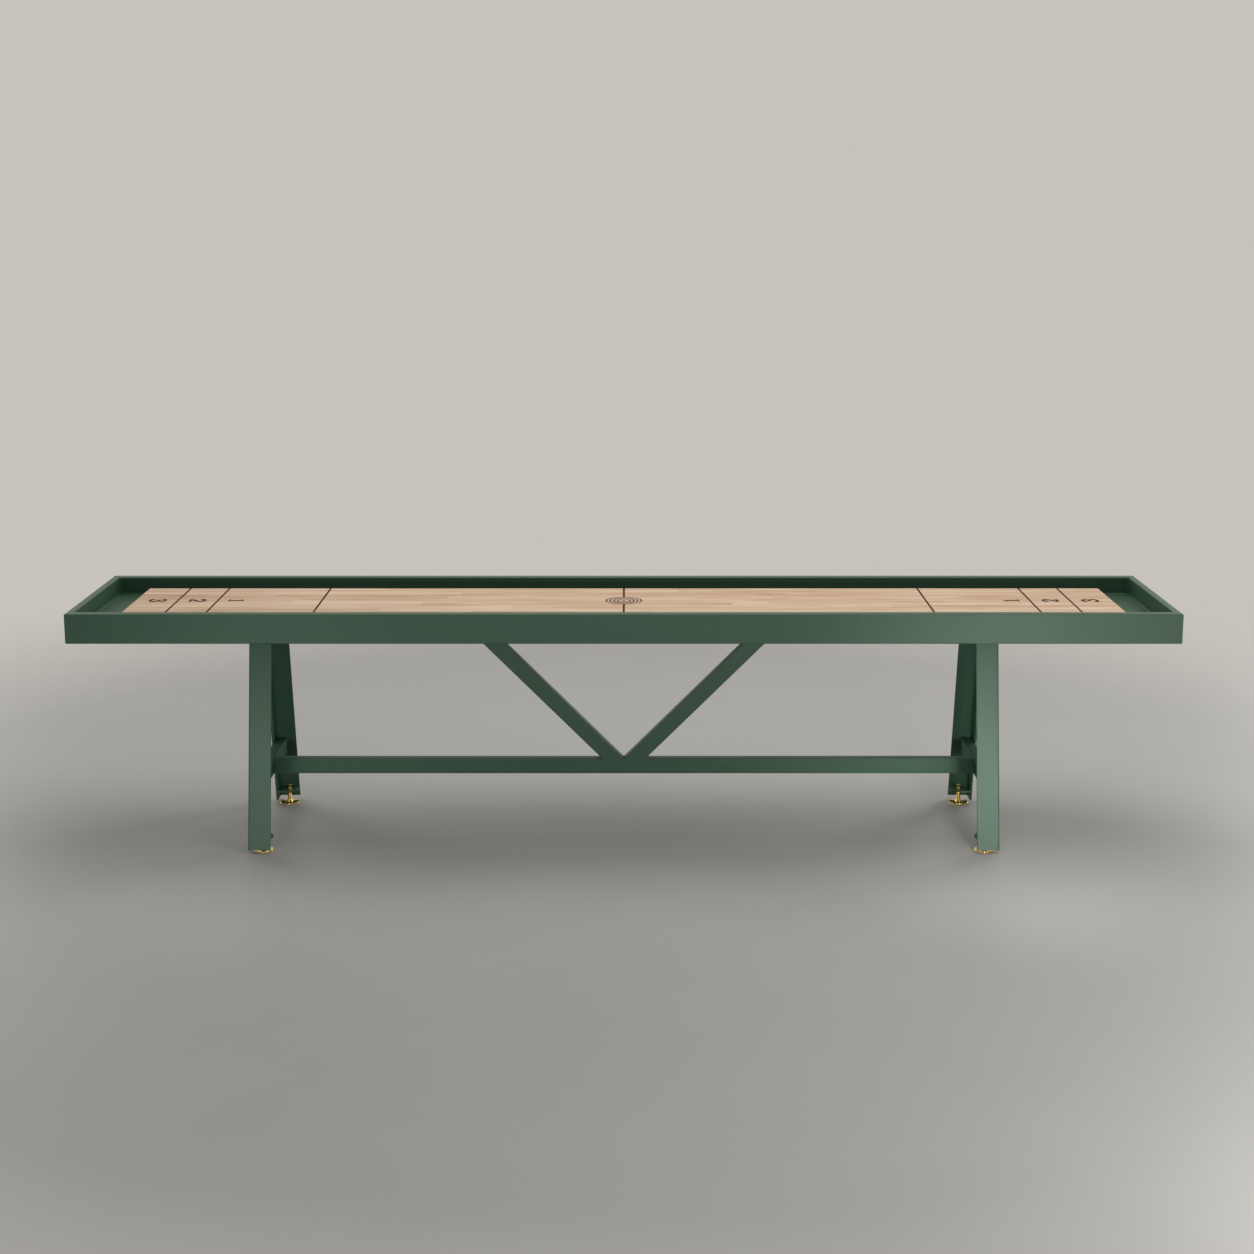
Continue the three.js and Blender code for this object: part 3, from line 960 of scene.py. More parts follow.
@dataclass(frozen=True)
class SteelSizes:
    """Sizes of the steelwork that the welds follow."""

    apron_bottom: float
    gutter_floor: float
    rim: float
    leg_outer: float
    web_spread: float
    rail_corner: float = 3.0 * MM
    rail_width: float = 40.0 * MM
    lean: float = math.radians(13.4)
    leg_thickness: float = 6.0 * MM
    leg_flange: float = 76.0 * MM

    @classmethod
    def of_frame(cls) -> SteelSizes:
        """Reads the heights and the legs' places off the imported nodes.

        Returns:
            The sizes.
        """
        low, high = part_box("front_rail")
        foot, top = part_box("right_rear_leg")
        spread = top.y - (low.z - foot.z) * math.tan(cls.lean)
        return cls(low.z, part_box("gutter_pan")[1].z, high.z, top.x, spread)

    def down_web(self, row: Row) -> Vector:
        """The way down along the web of a leg on one side."""
        return row.outward * math.sin(self.lean) - UP * math.cos(self.lean)

    def web_outer(self, height: float) -> float:
        """Distance of a leg's outer web face from the middle plane at a height."""
        return self.web_spread + (self.apron_bottom - height) * math.tan(self.lean)

    def web_inner(self, height: float) -> float:
        """Distance of a leg's inner web face from the middle plane at a height."""
        return self.web_outer(height) - self.leg_thickness / math.cos(self.lean)


@dataclass(frozen=True)
class SteelFrame:
    """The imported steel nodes, which keep their shapes and get the powder coat and softer edges."""

    coat: Material
    matt_coat: Material
    zinc: Material
    nodes: dict[str, bpy.types.Object]
    join_distance: float = 0.01 * MM
    crease: float = math.radians(CREASE_DEGREES)
    replaced_words: tuple[str, ...] = ("foot_pad", "foot_stem", "bolt", "screw", BOARD_NODE)
    modifier_name: str = "soft_edges"

    def dress(self) -> None:
        """Gives every steel node that stays its material and its smoothing."""
        group = self._smoothing()
        for name, node in self.nodes.items():
            if any(word in name for word in self.replaced_words):
                continue
            material = self.coat
            if name.endswith("plug"):
                material = self.zinc
            elif name.endswith("cross_bar"):
                material = self.matt_coat
            node.material_slots[0].material = material
            modifier = node.modifiers.new(self.modifier_name, "NODES")
            modifier.node_group = group
            soften(node)
            LOG.info("%s: dressed", name)

    def _smoothing(self) -> bpy.types.NodeTree:
        """Makes the node group that joins split points and smooths shallow edges.

        Returns:
            The geometry node group.
        """
        group = bpy.data.node_groups.new(self.modifier_name, "GeometryNodeTree")
        for way in ("INPUT", "OUTPUT"):
            group.interface.new_socket("Geometry", in_out=way, socket_type="NodeSocketGeometry")
        sheet = NodeSheet(group)
        shape = sheet.wire("NodeGroupInput", {}, {})
        shape = sheet.wire("GeometryNodeRemoveAttribute", {}, {"Geometry": shape, "Name": "custom_normal"})
        joining = {"Geometry": shape, "Distance": self.join_distance}
        shape = sheet.wire("GeometryNodeMergeByDistance", {}, joining)
        shape = sheet.wire("GeometryNodeSetShadeSmooth", {}, {"Geometry": shape})
        angle = sheet.wire("GeometryNodeInputMeshEdgeAngle", {}, {}, "Unsigned Angle")
        comparing = {"A": angle, "B": self.crease}
        shallow = sheet.wire("FunctionNodeCompare", {"operation": "LESS_THAN"}, comparing)
        smoothing = {"Geometry": shape, "Shade Smooth": shallow}
        shape = sheet.wire("GeometryNodeSetShadeSmooth", {"domain": "EDGE"}, smoothing)
        sheet.node("NodeGroupOutput", {}, {0: shape})
        return group


@dataclass(frozen=True)
class TrayWelds:
    """Ground welds at the mitred corners of the top frame, and the seam round the gutter floor."""

    stock: Stock
    sizes: SteelSizes
    filler_half: float = 0.32 * MM
    corner_leg: float = 7.0 * MM
    seam_leg: float = 4.5 * MM
    below_rim: float = 2.0 * MM
    crown: float = 0.1
    arc_steps: int = 6

    def build(self) -> None:
        """Makes the fillers, the inner corner runs and the gutter seam."""
        outer_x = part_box("front_rail")[1].x - self.filler_half
        outer_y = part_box("right_end_rail")[1].y - self.filler_half
        inner_x, inner_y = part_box("right_end_rail")[0].x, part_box("rear_rail")[0].y
        for end in End:
            for row in Row:
                name = f"{end.word}_{row.word}_corner"
                outside, inside = at(end, row, outer_x, outer_y, 0), at(end, row, inner_x, inner_y, 0)
                self.stock.make(f"{name}_weld", self._mitre(outside, inside))
                low = at(end, row, inner_x, inner_y, self.sizes.gutter_floor)
                high = at(end, row, inner_x, inner_y, self.sizes.rim - self.below_rim)
                fillet = Fillet(low, high, -end.outward, -row.outward, self.corner_leg, self.crown)
                self.stock.make(f"{name}_fillet", fillet.ground())
        for end in End:
            self.stock.make(f"{end.word}_gutter_seam", self._seam(end, inner_x, inner_y))

    def _mitre(self, outside: Vector, inside: Vector) -> Shape:
        """Fills one mitre gap flush with the rails.

        Args:
            outside: the frame's outer corner in plan.
            inside: the frame's inner corner in plan.

        Returns:
            A thin plate in the mitre's plane.
        """
        radius = self.sizes.rail_corner
        low, high = self.sizes.apron_bottom + radius, self.sizes.rim - radius
        run = (inside - outside).length
        along = (inside - outside) / run
        across = Vector((-along.y, along.x, 0)) * self.filler_half
        reach = radius * run / self.sizes.rail_width
        corners = ((reach, low), (run - reach, low), (run - reach, high), (reach, high))
        outline: list[Plan] = []
        for quarter, (middle, height) in enumerate(corners, start=2):
            for angle in quarter_angles(self.arc_steps):
                turn = polar(1.0, angle + QUARTER_TURN * quarter, 0)
                outline.append((middle + reach * turn.x, height + radius * turn.y))
        rings = []
        for side in (-across, across):
            rings.append([outside + along * place + side + UP * height for place, height in outline])
        return ring_skin(rings)

    def _seam(self, end: End, half_x: float, half_y: float) -> Shape:
        """The seam where the gutter floor meets the rails, in one half of the tray.

        Args:
            end: the table's end.
            half_x: half the tray's length.
            half_y: half the tray's width.

        Returns:
            The three straight runs.
        """
        z = self.sizes.gutter_floor
        front, rear = (at(end, row, half_x, half_y, z) for row in Row)
        runs = [Fillet(rear, front, -end.outward, UP, self.seam_leg, self.crown)]
        for row, corner in zip(Row, (front, rear), strict=True):
            middle = Vector((0, corner.y, z))
            runs.append(Fillet(middle, corner, -row.outward, UP, self.seam_leg, self.crown))
        return gathered(run.ground() for run in runs)


@dataclass(frozen=True)
class FrameWelds:
    """Weld beads of the leg frames, the struts and the cross beams."""

    stock: Stock
    sizes: SteelSizes
    bead: float = 4.0 * MM
    small_bead: float = 3.0 * MM
    edge_gap: float = 2.0 * MM
    toe_gap: float = 8.0 * MM
    tongue_gap: float = 24.0 * MM
    crease_degrees: float = 70.0
    foot_proud: float = 0.04 * MM
    foot_tuck: float = 0.25 * MM
    foot_depth_share: float = 1.3
    foot_drop_share: float = 1.2
    foot_inset_share: float = 0.35
    foot_crown: float = 0.35

    def build(self) -> None:
        """Makes the beads, one piece for each welded sub-assembly."""
        for end in End:
            runs = []
            for row in Row:
                runs += self._leg_runs(end, row) + self._foot_plate_runs(end, row)
            self._lay(f"{end.word}_leg_frame_welds", runs)
            self._lay(f"{end.word}_strut_welds", self._strut_top_runs(end))
        self.stock.make("strut_foot_weld", self._strut_foot())
        for end in End:
            self._lay(f"{end.word}_beam_welds", self._beam_runs(end))

    def _lay(self, name: str, runs: Iterable[Fillet]) -> None:
        """Makes one piece of several beads."""
        self.stock.make(name, gathered(run.rippled() for run in runs), crease_degrees=self.crease_degrees)

    def _leg_runs(self, end: End, row: Row) -> list[Fillet]:
        """Beads that join one leg to its plate and its cross bar.

        Args:
            end: the table's end.
            row: the table's side.

        Returns:
            The beads.
        """
        sizes, gap = self.sizes, self.edge_gap
        leg, face = sizes.leg_outer, sizes.leg_outer - sizes.leg_thickness
        inner_edge = leg - sizes.leg_flange
        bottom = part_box(f"{end.word}_leg_plate")[0].z
        outer, inner = sizes.web_outer(bottom), sizes.web_inner(bottom)
        out, inward, down_web = row.outward, -end.outward, sizes.down_web(row)

        def bead(first: Spot, last: Spot, one_face: Vector, other_face: Vector) -> Fillet:
            """A bead between two points, given by their distances from the middle planes."""
            return Fillet(at(end, row, *first), at(end, row, *last), one_face, other_face, self.bead)

        toe = inner - sizes.leg_flange + self.toe_gap
        low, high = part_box(f"{end.word}_cross_bar")
        near, far = sorted((abs(low.x), abs(high.x)))
        foot, head = low.z + gap, high.z - gap
        runs = [
            bead((inner_edge + gap, outer, bottom), (leg - gap, outer, bottom), out, down_web),
            bead((inner_edge + gap, inner, bottom), (face - gap, inner, bottom), -out, down_web),
            bead((face, inner - gap, bottom), (face, toe, bottom), inward, -UP),
        ]
        for height, upward in ((high.z, -down_web), (low.z, down_web)):
            web = sizes.web_inner(height)
            runs.append(bead((near + gap, web, height), (far - gap, web, height), -out, upward))
        first, last = (near, sizes.web_inner(foot), foot), (near, sizes.web_inner(head), head)
        return [*runs, bead(first, last, -out, inward)]

    def _foot_plate_runs(self, end: End, row: Row) -> list[Fillet]:
        """Beads that join one leg to its foot plate, above and below the plate.

        Args:
            end: the table's end.
            row: the table's side.

        Returns:
            The beads.
        """
        sizes, gap = self.sizes, self.edge_gap
        face = sizes.leg_outer - sizes.leg_thickness
        low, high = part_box(f"{end.word}_{row.word}_foot_plate")
        tongue = min(abs(low.x), abs(high.x)) + self.tongue_gap
        near = min(abs(low.y), abs(high.y)) + gap
        runs = []
        for height, way in ((high.z, 1), (low.z, -1)):
            web = sizes.web_inner(height)
            spans = (
                ((tongue, web), (face - gap, web), -row.outward, sizes.down_web(row) * -way),
                ((face, near), (face, web - gap), -end.outward, UP * way),
            )
            for first, last, one_face, other_face in spans:
                ends = (at(end, row, *first, height), at(end, row, *last, height))
                runs.append(Fillet(*ends, one_face, other_face, self.small_bead))
        return runs

    def _strut_top_runs(self, end: End) -> list[Fillet]:
        """Beads that join one strut's top to its plate.

        Args:
            end: the table's end.

        Returns:
            The beads.
        """
        low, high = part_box(f"{end.word}_strut")
        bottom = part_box(f"{end.word}_strut_plate")[0].z
        near, far = sorted((abs(low.x), abs(high.x)))
        inner = near + high.z - low.z
        gap = self.edge_gap
        down_strut = -(end.outward + UP).normalized()
        runs = []
        for row, y in ((Row.FRONT, low.y), (Row.REAR, high.y)):
            ends = (Vector((end.value * x, y, bottom)) for x in (inner + gap, far - gap))
            runs.append(Fillet(*ends, row.outward, -UP, self.bead))
        for x, away in ((far, end.outward), (inner, -end.outward)):
            ends = (Vector((end.value * x, y, bottom)) for y in (low.y + gap, high.y - gap))
            runs.append(Fillet(*ends, away, down_strut, self.bead))
        return runs

    def _strut_foot(self) -> Shape:
        """The ground weld that brings the struts' feet flush with the stretcher's faces.

        Returns:
            The front and rear fillers and the beads on the outer sides.
        """
        low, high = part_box("stretcher")
        strut_low, strut_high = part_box("right_strut")
        half = strut_high.x - (strut_high.z - strut_low.z)
        radius = self.sizes.rail_corner
        reach = half - self.foot_inset_share * radius
        bottom, top = high.z - self.foot_drop_share * radius, strut_low.z + self.foot_proud
        shapes = []
        for row, face in ((Row.FRONT, low.y), (Row.REAR, high.y)):
            outside = face + row.value * self.foot_proud
            inside = face - row.value * self.foot_depth_share * radius
            near, far = sorted((outside, inside))
            profile = ((-reach, bottom), (reach, bottom), (reach, top), (-reach, top))
            shapes.append(ring_skin([[Vector((x, y, z)) for x, z in profile] for y in (near, far)]))
        for end in End:
            x = end.value * (half - self.foot_tuck)
            ends = (Vector((x, y, high.z)) for y in (low.y + radius, high.y - radius))
            up_strut = (end.outward + UP).normalized()
            bead = Fillet(*ends, end.outward, up_strut, self.small_bead, self.foot_crown)
            shapes.append(bead.rippled())
        return gathered(shapes)

    def _beam_runs(self, end: End) -> list[Fillet]:
        """Upright beads where the cross beams of one half meet the long rails.

        Args:
            end: the table's end; the middle beam goes with the right one.

        Returns:
            The beads.
        """
        names = [f"{end.word}_{part}_beam" for part in ("strut", "leg", "end")]
        if end is End.RIGHT:
            names.append("middle_beam")
        rail_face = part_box("rear_rail")[0].y
        runs = []
        for name in names:
            low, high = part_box(name)
            heights = (low.z + self.edge_gap, high.z - self.edge_gap)
            for row in Row:
                for x, side in ((low.x, End.LEFT), (high.x, End.RIGHT)):
                    ends = (Vector((x, row.value * rail_face, z)) for z in heights)
                    runs.append(Fillet(*ends, -row.outward, side.outward, self.bead))
        return runs


@dataclass(frozen=True)
class PenStroke:
    """One stroke of a serif digit, drawn with a pen that is broad down and thin across."""

    path: tuple[Plan, ...]
    start_ball: float = 0.0
    end_ball: float = 0.0


@dataclass(frozen=True)
class DigitShape:
    """A serif digit in shares of its height: its straight-edged part and its pen strokes."""

    plate: tuple[Plan, ...] = ()
    strokes: tuple[PenStroke, ...] = ()


DIGITS: dict[int, DigitShape] = {
    1: DigitShape(
        plate=(
            (0.06, 0.0), (0.60, 0.0), (0.60, 0.06), (0.46, 0.08), (0.43, 0.14), (0.43, 1.0),
            (0.37, 1.0), (0.27, 0.89), (0.07, 0.83), (0.07, 0.765), (0.23, 0.79), (0.23, 0.14),
            (0.20, 0.08), (0.06, 0.06),
        ),
    ),
    2: DigitShape(
        plate=(
            (0.055, 0.0), (0.575, 0.0), (0.635, 0.28), (0.575, 0.28), (0.535, 0.185), (0.46, 0.16),
            (0.13, 0.16), (0.055, 0.09),
        ),
        strokes=(
            PenStroke(
                (
                    (0.115, 0.745), (0.135, 0.88), (0.30, 0.975), (0.475, 0.90), (0.525, 0.725),
                    (0.45, 0.53), (0.27, 0.31), (0.105, 0.115),
                ),
                start_ball=0.085,
            ),
        ),
    ),
    3: DigitShape(
        strokes=(
            PenStroke(
                (
                    (0.115, 0.80), (0.16, 0.915), (0.31, 0.975), (0.465, 0.91), (0.51, 0.765),
                    (0.43, 0.61), (0.25, 0.53),
                ),
                start_ball=0.083,
            ),
            PenStroke(
                (
                    (0.25, 0.525), (0.46, 0.475), (0.555, 0.29), (0.48, 0.085), (0.30, 0.02),
                    (0.14, 0.075), (0.10, 0.20),
                ),
                end_ball=0.085,
            ),
        ),
    ),
}


def smooth_line(points: Sequence[Plan], steps: int) -> list[Vector]:
    """Passes a smooth line through points.

    Args:
        points: the points, in order.
        steps: how many steps the whole line gets.

    Returns:
        Points along the line, at height 0.
    """
    knots = [Vector((x, y, 0)) for x, y in points]
    knots = [2 * knots[0] - knots[1], *knots, 2 * knots[-1] - knots[-2]]
    spans = len(points) - 1
    line = []
    for step in range(steps + 1):
        span = min(step * spans // steps, spans - 1)
        t = step * spans / steps - span
        a, b, c, d = knots[span : span + 4]
        square = 2 * a - 5 * b + 4 * c - d
        cube = 3 * b - a - 3 * c + d
        line.append((2 * b + (c - a) * t + square * t**2 + cube * t**3) / 2)
    return line


@dataclass
class BoardMarks:
    """The score lines, the digits and the ring motif in the middle of the playing board."""

    line_stain: Material
    digit_stain: Material
    thickness: float = 0.12 * MM
    line_width: float = 7.0 * MM
    line_places: tuple[float, ...] = (1.036, 1.393, 1.530)
    line_margin: float = 1.2 * MM
    digit_places: dict[int, float] = field(default_factory=lambda: {1: 1.328, 2: 1.464, 3: 1.599})
    digit_height: float = 55.0 * MM
    digit_breadth: float = 1.35
    digit_middle: Plan = (0.33, 0.5)
    pen_broad_share: float = 0.24
    pen_thin_share: float = 0.16
    pen_least_share: float = 0.004
    pen_turn_power: float = 1.4
    pen_steps: int = 48
    ball_steps: int = 8
    motif_radius: float = 64.0 * MM
    ring_radii: tuple[float, ...] = (18.5 * MM, 31.5 * MM, 44.5 * MM, 57.5 * MM)
    ring_width: float = 5.5 * MM
    ring_sides: int = 96

    def build(self) -> None:
        """Makes all the marks on the board's top face."""
        lines, digits = Stock(self.line_stain), Stock(self.digit_stain)
        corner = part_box(BOARD_NODE)[1]
        reach, top = corner.y - self.line_margin, corner.z
        for end in End:
            for number, place in enumerate(self.line_places, start=1):
                shape = self._line(end.value * place, -reach, reach, top)
                lines.make(f"{end.word}_score_line_{number}", shape)
            for digit, place in self.digit_places.items():
                shape = self._digit(DIGITS[digit], Vector((end.value * place, 0, top)), end)
                digits.make(f"{end.word}_digit_{digit}", shape)
        for row in Row:
            near, far = sorted((row.value * self.motif_radius, row.value * reach))
            lines.make(f"{row.word}_centre_line", self._line(0.0, near, far, top))
        digits.make("centre_motif", self._motif(top))

    def _line(self, x: float, near: float, far: float, top: float) -> Shape:
        """One score line across the board, from one place across it to another."""
        low = Vector((x - self.line_width / 2, near, top - self.thickness))
        return block(low, Vector((x + self.line_width / 2, far, top + self.thickness)))

    def _motif(self, top: float) -> Shape:
        """Plain concentric rings round a dot.

        Args:
            top: the height of the board's face.

        Returns:
            The rings and the dot.
        """
        low, high, width = top - self.thickness, top + self.thickness, self.ring_width
        shapes = [turned(((0, low), (width, low), (width, high), (0, high)), self.ring_sides)]
        for inner in self.ring_radii:
            outer = inner + width
            profile = ((inner, low), (outer, low), (outer, high), (inner, high), (inner, low))
            shapes.append(turned(profile, self.ring_sides))
        return gathered(shapes)

    def _digit(self, digit: DigitShape, centre: Vector, end: End) -> Shape:
        """One digit, with its top towards the middle of the table.

        Args:
            digit: the digit's plate and strokes.
            centre: where its middle lies.
            end: the end that it belongs to.

        Returns:
            The digit as thin plates.
        """
        shapes = [slab(digit.plate, 0.0, 1.0)] if digit.plate else []
        whole = gathered([*shapes, *(self._stroke(stroke) for stroke in digit.strokes)])
        height = self.digit_height
        across, up = self.digit_middle
        middle = Matrix.Translation((-across, -up, 0))
        size = Matrix.Diagonal((height * self.digit_breadth, height, 2 * self.thickness, 1))
        turn = Matrix.Rotation(end.value * QUARTER_TURN, 4, "Z")
        place = Matrix.Translation(centre - UP * self.thickness)
        bmesh.ops.transform(whole, matrix=place @ turn @ size @ middle, verts=whole.verts)
        return whole

    def _stroke(self, stroke: PenStroke) -> Shape:
        """Sweeps the pen along one stroke.

        Args:
            stroke: the points that it passes and its ball ends.

        Returns:
            A flat ribbon of height 1.
        """
        line = self._with_balls(smooth_line(stroke.path, self.pen_steps), stroke)
        lengths = [0.0]
        for before, after in pairwise(line):
            lengths.append(lengths[-1] + (after - before).length)
        rings = []
        for index, point in enumerate(line):
            ahead = (line[min(index + 1, len(line) - 1)] - line[max(index - 1, 0)]).normalized()
            broad = (self.pen_broad_share - self.pen_thin_share) * abs(ahead.y) ** self.pen_turn_power
            half = (self.pen_thin_share + broad) / 2
            half = self._ball_width(half, lengths[index], stroke.start_ball)
            half = self._ball_width(half, lengths[-1] - lengths[index], stroke.end_ball)
            side = Vector((-ahead.y, ahead.x, 0)) * max(half, self.pen_least_share / 2)
            left, right = point + side, point - side
            rings.append([left, right, right + UP, left + UP])
        return ring_skin(rings)

    def _with_balls(self, line: list[Vector], stroke: PenStroke) -> list[Vector]:
        """Lengthens a stroke straight on at each ball end, by the ball's radius.

        Args:
            line: the points along the stroke.
            stroke: the stroke's ball ends.

        Returns:
            The longer line.
        """
        shares = [step / self.ball_steps for step in range(self.ball_steps)]
        if stroke.start_ball > 0:
            back = (line[0] - line[1]).normalized() * stroke.start_ball
            line = [*(line[0] + back * (1 - share) for share in shares), *line]
        if stroke.end_ball > 0:
            ahead = (line[-1] - line[-2]).normalized() * stroke.end_ball
            line = [*line, *(line[-1] + ahead * (1 - share) for share in reversed(shares))]
        return line

    @staticmethod
    def _ball_width(half: float, distance: float, ball: float) -> float:
        """Half the stroke's width at a distance from a ball end.

        Args:
            half: half the pen's own width there.
            distance: the distance along the stroke from its end.
            ball: the ball's radius, or 0 for none.

        Returns:
            Half the width with the ball.
        """
        if ball <= 0 or distance >= 2 * ball:
            return half
        round_half = math.sqrt(max(0.0, ball**2 - (distance - ball) ** 2))
        return round_half if distance < ball else max(half, round_half)


@dataclass
class PlayingBoard:
    """The laminated maple board: strips glued side by side, each of lamellas butted end to end."""

    finish: LacqueredMaple
    strip_count: int = 12
    strips_together: int = 2
    shortest: float = 0.45
    longest: float = 1.15
    end_piece: float = 0.2
    edge_radius: float = 2.5 * MM
    edge_segments: int = 4
    crease_degrees: float = 40.0
    seed: int = 41
    tone_shape: Plan = (2.0, 2.4)
    known_joints: dict[int, float] = field(default_factory=lambda: {0: 0.088, 11: -0.838})
    known_tones: dict[int, Plan] = field(default_factory=lambda: {0: (0.74, 0.22), 11: (0.12, 0.5)})

    def build(self) -> None:
        """Makes one piece for each pair of strips."""
        low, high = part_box(BOARD_NODE)
        width = (high.y - low.y) / self.strip_count
        stock = Stock(self.finish.build(width), slot=Slot.MAPLE)
        chance = random.Random(self.seed)
        for first in range(0, self.strip_count, self.strips_together):
            strips = range(first, first + self.strips_together)
            shape = self._stave(low, high, width, strips)
            lamellas = {}
            for strip in strips:
                joints = self._joints(low.x, high.x, strip, chance)
                lamellas[strip] = joints, self._looks(joints, strip, chance)
                for joint in joints[1:-1]:
                    self._part(shape, Vector((joint, 0, 0)), Vector((1, 0, 0)))
            for strip in strips[1:]:
                self._part(shape, Vector((0, low.y + strip * width, 0)), Vector((0, 1, 0)))
            self._mark(shape, low.y, width, lamellas)
            name = f"board_strips_{strips[0] + 1:02d}_{strips[-1] + 1:02d}"
            stock.make(name, shape, crease_degrees=self.crease_degrees, stands_for=[BOARD_NODE])

    def _joints(self, start: float, stop: float, strip: int, chance: random.Random) -> list[float]:
        """Chooses where the lamellas of one strip meet.

        Args:
            start: the strip's left end.
            stop: the strip's right end.
            strip: the strip's number, from the front.
            chance: the source of random lengths.

        Returns:
            The places of the joints, both ends included.
        """
        places = [start, start + chance.uniform(self.end_piece, self.longest)]
        while places[-1] < stop - self.shortest:
            places.append(places[-1] + chance.uniform(self.shortest, self.longest))
        while places[-1] > stop - self.end_piece:
            places.pop()
        if strip in self.known_joints:
            known = self.known_joints[strip]
            nearest = min(places[1:], key=lambda place: abs(place - known))
            places[places.index(nearest)] = known
        return [*places, stop]

    def _looks(self, joints: Sequence[float], strip: int, chance: random.Random) -> list[Plan]:
        """Chooses the tone and the grain of each lamella in one strip.

        Args:
            joints: the places where the lamellas meet.
            strip: the strip's number, from the front.
            chance: the source of random tones.

        Returns:
            A tone and a seed for each lamella, both from 0 to 1.
        """
        looks = [(chance.betavariate(*self.tone_shape), chance.random()) for _ in joints[1:]]
        if strip in self.known_joints:
            after = joints.index(self.known_joints[strip])
            for lamella, tone in zip((after - 1, after), self.known_tones[strip], strict=True):
                looks[lamella] = tone, looks[lamella][1]
        return looks

    def _stave(self, low: Vector, high: Vector, width: float, strips: range) -> Shape:
        """A few strips side by side, round at the edges that lie on the board's outside.

        Args:
            low: the board's lowest corner.
            high: the board's highest corner.
            width: the width of one strip.
            strips: the strips' numbers, from the front.

        Returns:
            The strips as one block.
        """
        near, far = low.y + strips[0] * width, low.y + (strips[-1] + 1) * width
        shape = block(Vector((low.x, near, low.z)), Vector((high.x, far, high.z)))
        rounded = []
        for edge in shape.edges:
            middle = (edge.verts[0].co + edge.verts[1].co) / 2
            at_end = abs(abs(middle.x) - high.x) < MM
            at_side = abs(abs(middle.y) - high.y) < MM
            if middle.z > high.z - MM and (at_end or at_side):
                rounded.append(edge)
        bmesh.ops.bevel(
            shape, geom=rounded, offset=self.edge_radius, segments=self.edge_segments,
            profile=0.5, affect="EDGES", clamp_overlap=False,
        )
        return shape

    @staticmethod
    def _part(shape: Shape, place: Vector, facing: Vector) -> None:
        """Draws an edge loop round a shape where a plane meets it."""
        geometry = shape.verts[:] + shape.edges[:] + shape.faces[:]
        bmesh.ops.bisect_plane(shape, geom=geometry, plane_co=place, plane_no=facing)

    @staticmethod
    def _mark(
        shape: Shape, front: float, width: float, lamellas: dict[int, tuple[list[float], list[Plan]]]
    ) -> None:
        """Gives each lamella its own tone, grain and flat map.

        Args:
            shape: the strips.
            front: the board's front edge.
            width: the width of one strip.
            lamellas: the joints and the looks of each strip.
        """
        tone = shape.faces.layers.float.new(TONE_LAYER)
        seed = shape.faces.layers.float.new(SEED_LAYER)
        flat = shape.loops.layers.uv.new(FLAT_MAP)
        for face in shape.faces:
            middle = face.calc_center_median()
            strip = min(max(int((middle.y - front) / width), min(lamellas)), max(lamellas))
            joints, looks = lamellas[strip]
            lamella = sum(middle.x > joint for joint in joints[1:-1])
            face[tone], face[seed] = looks[lamella]
            for loop in face.loops:
                place = loop.vert.co
                loop[flat].uv = (place.x - joints[lamella], place.y - front - strip * width)


@dataclass(frozen=True)
class Thread:
    """A screw thread with flat crests and roots, which runs out at both ends."""

    low: float = 11.0 * MM
    high: float = 58.0 * MM
    pitch: float = 2.0 * MM
    depth: float = 0.5 * MM
    steps: int = 8
    root_rise: float = 1.25
    flank_slope: float = 4.2

    def heights(self) -> list[float]:
        """The heights that show the thread, with a few to each turn."""
        count = round((self.high - self.low) / self.pitch * self.steps)
        return [self.low + self.pitch / self.steps * step for step in range(count + 1)]

    def cut(self, height: float, turn: float) -> float:
        """How deep the thread is cut at a height and a share of a turn.

        Args:
            height: the height.
            turn: the share of a turn, from 0 to 1.

        Returns:
            The depth below the crest.
        """
        runout = min(height - self.low, self.high - height) / self.pitch
        phase = (height / self.pitch - turn) % 1.0
        profile = self.root_rise - abs(phase - 0.5) * self.flank_slope
        return self.depth * min(1.0, max(0.0, runout)) * min(1.0, max(0.0, profile))


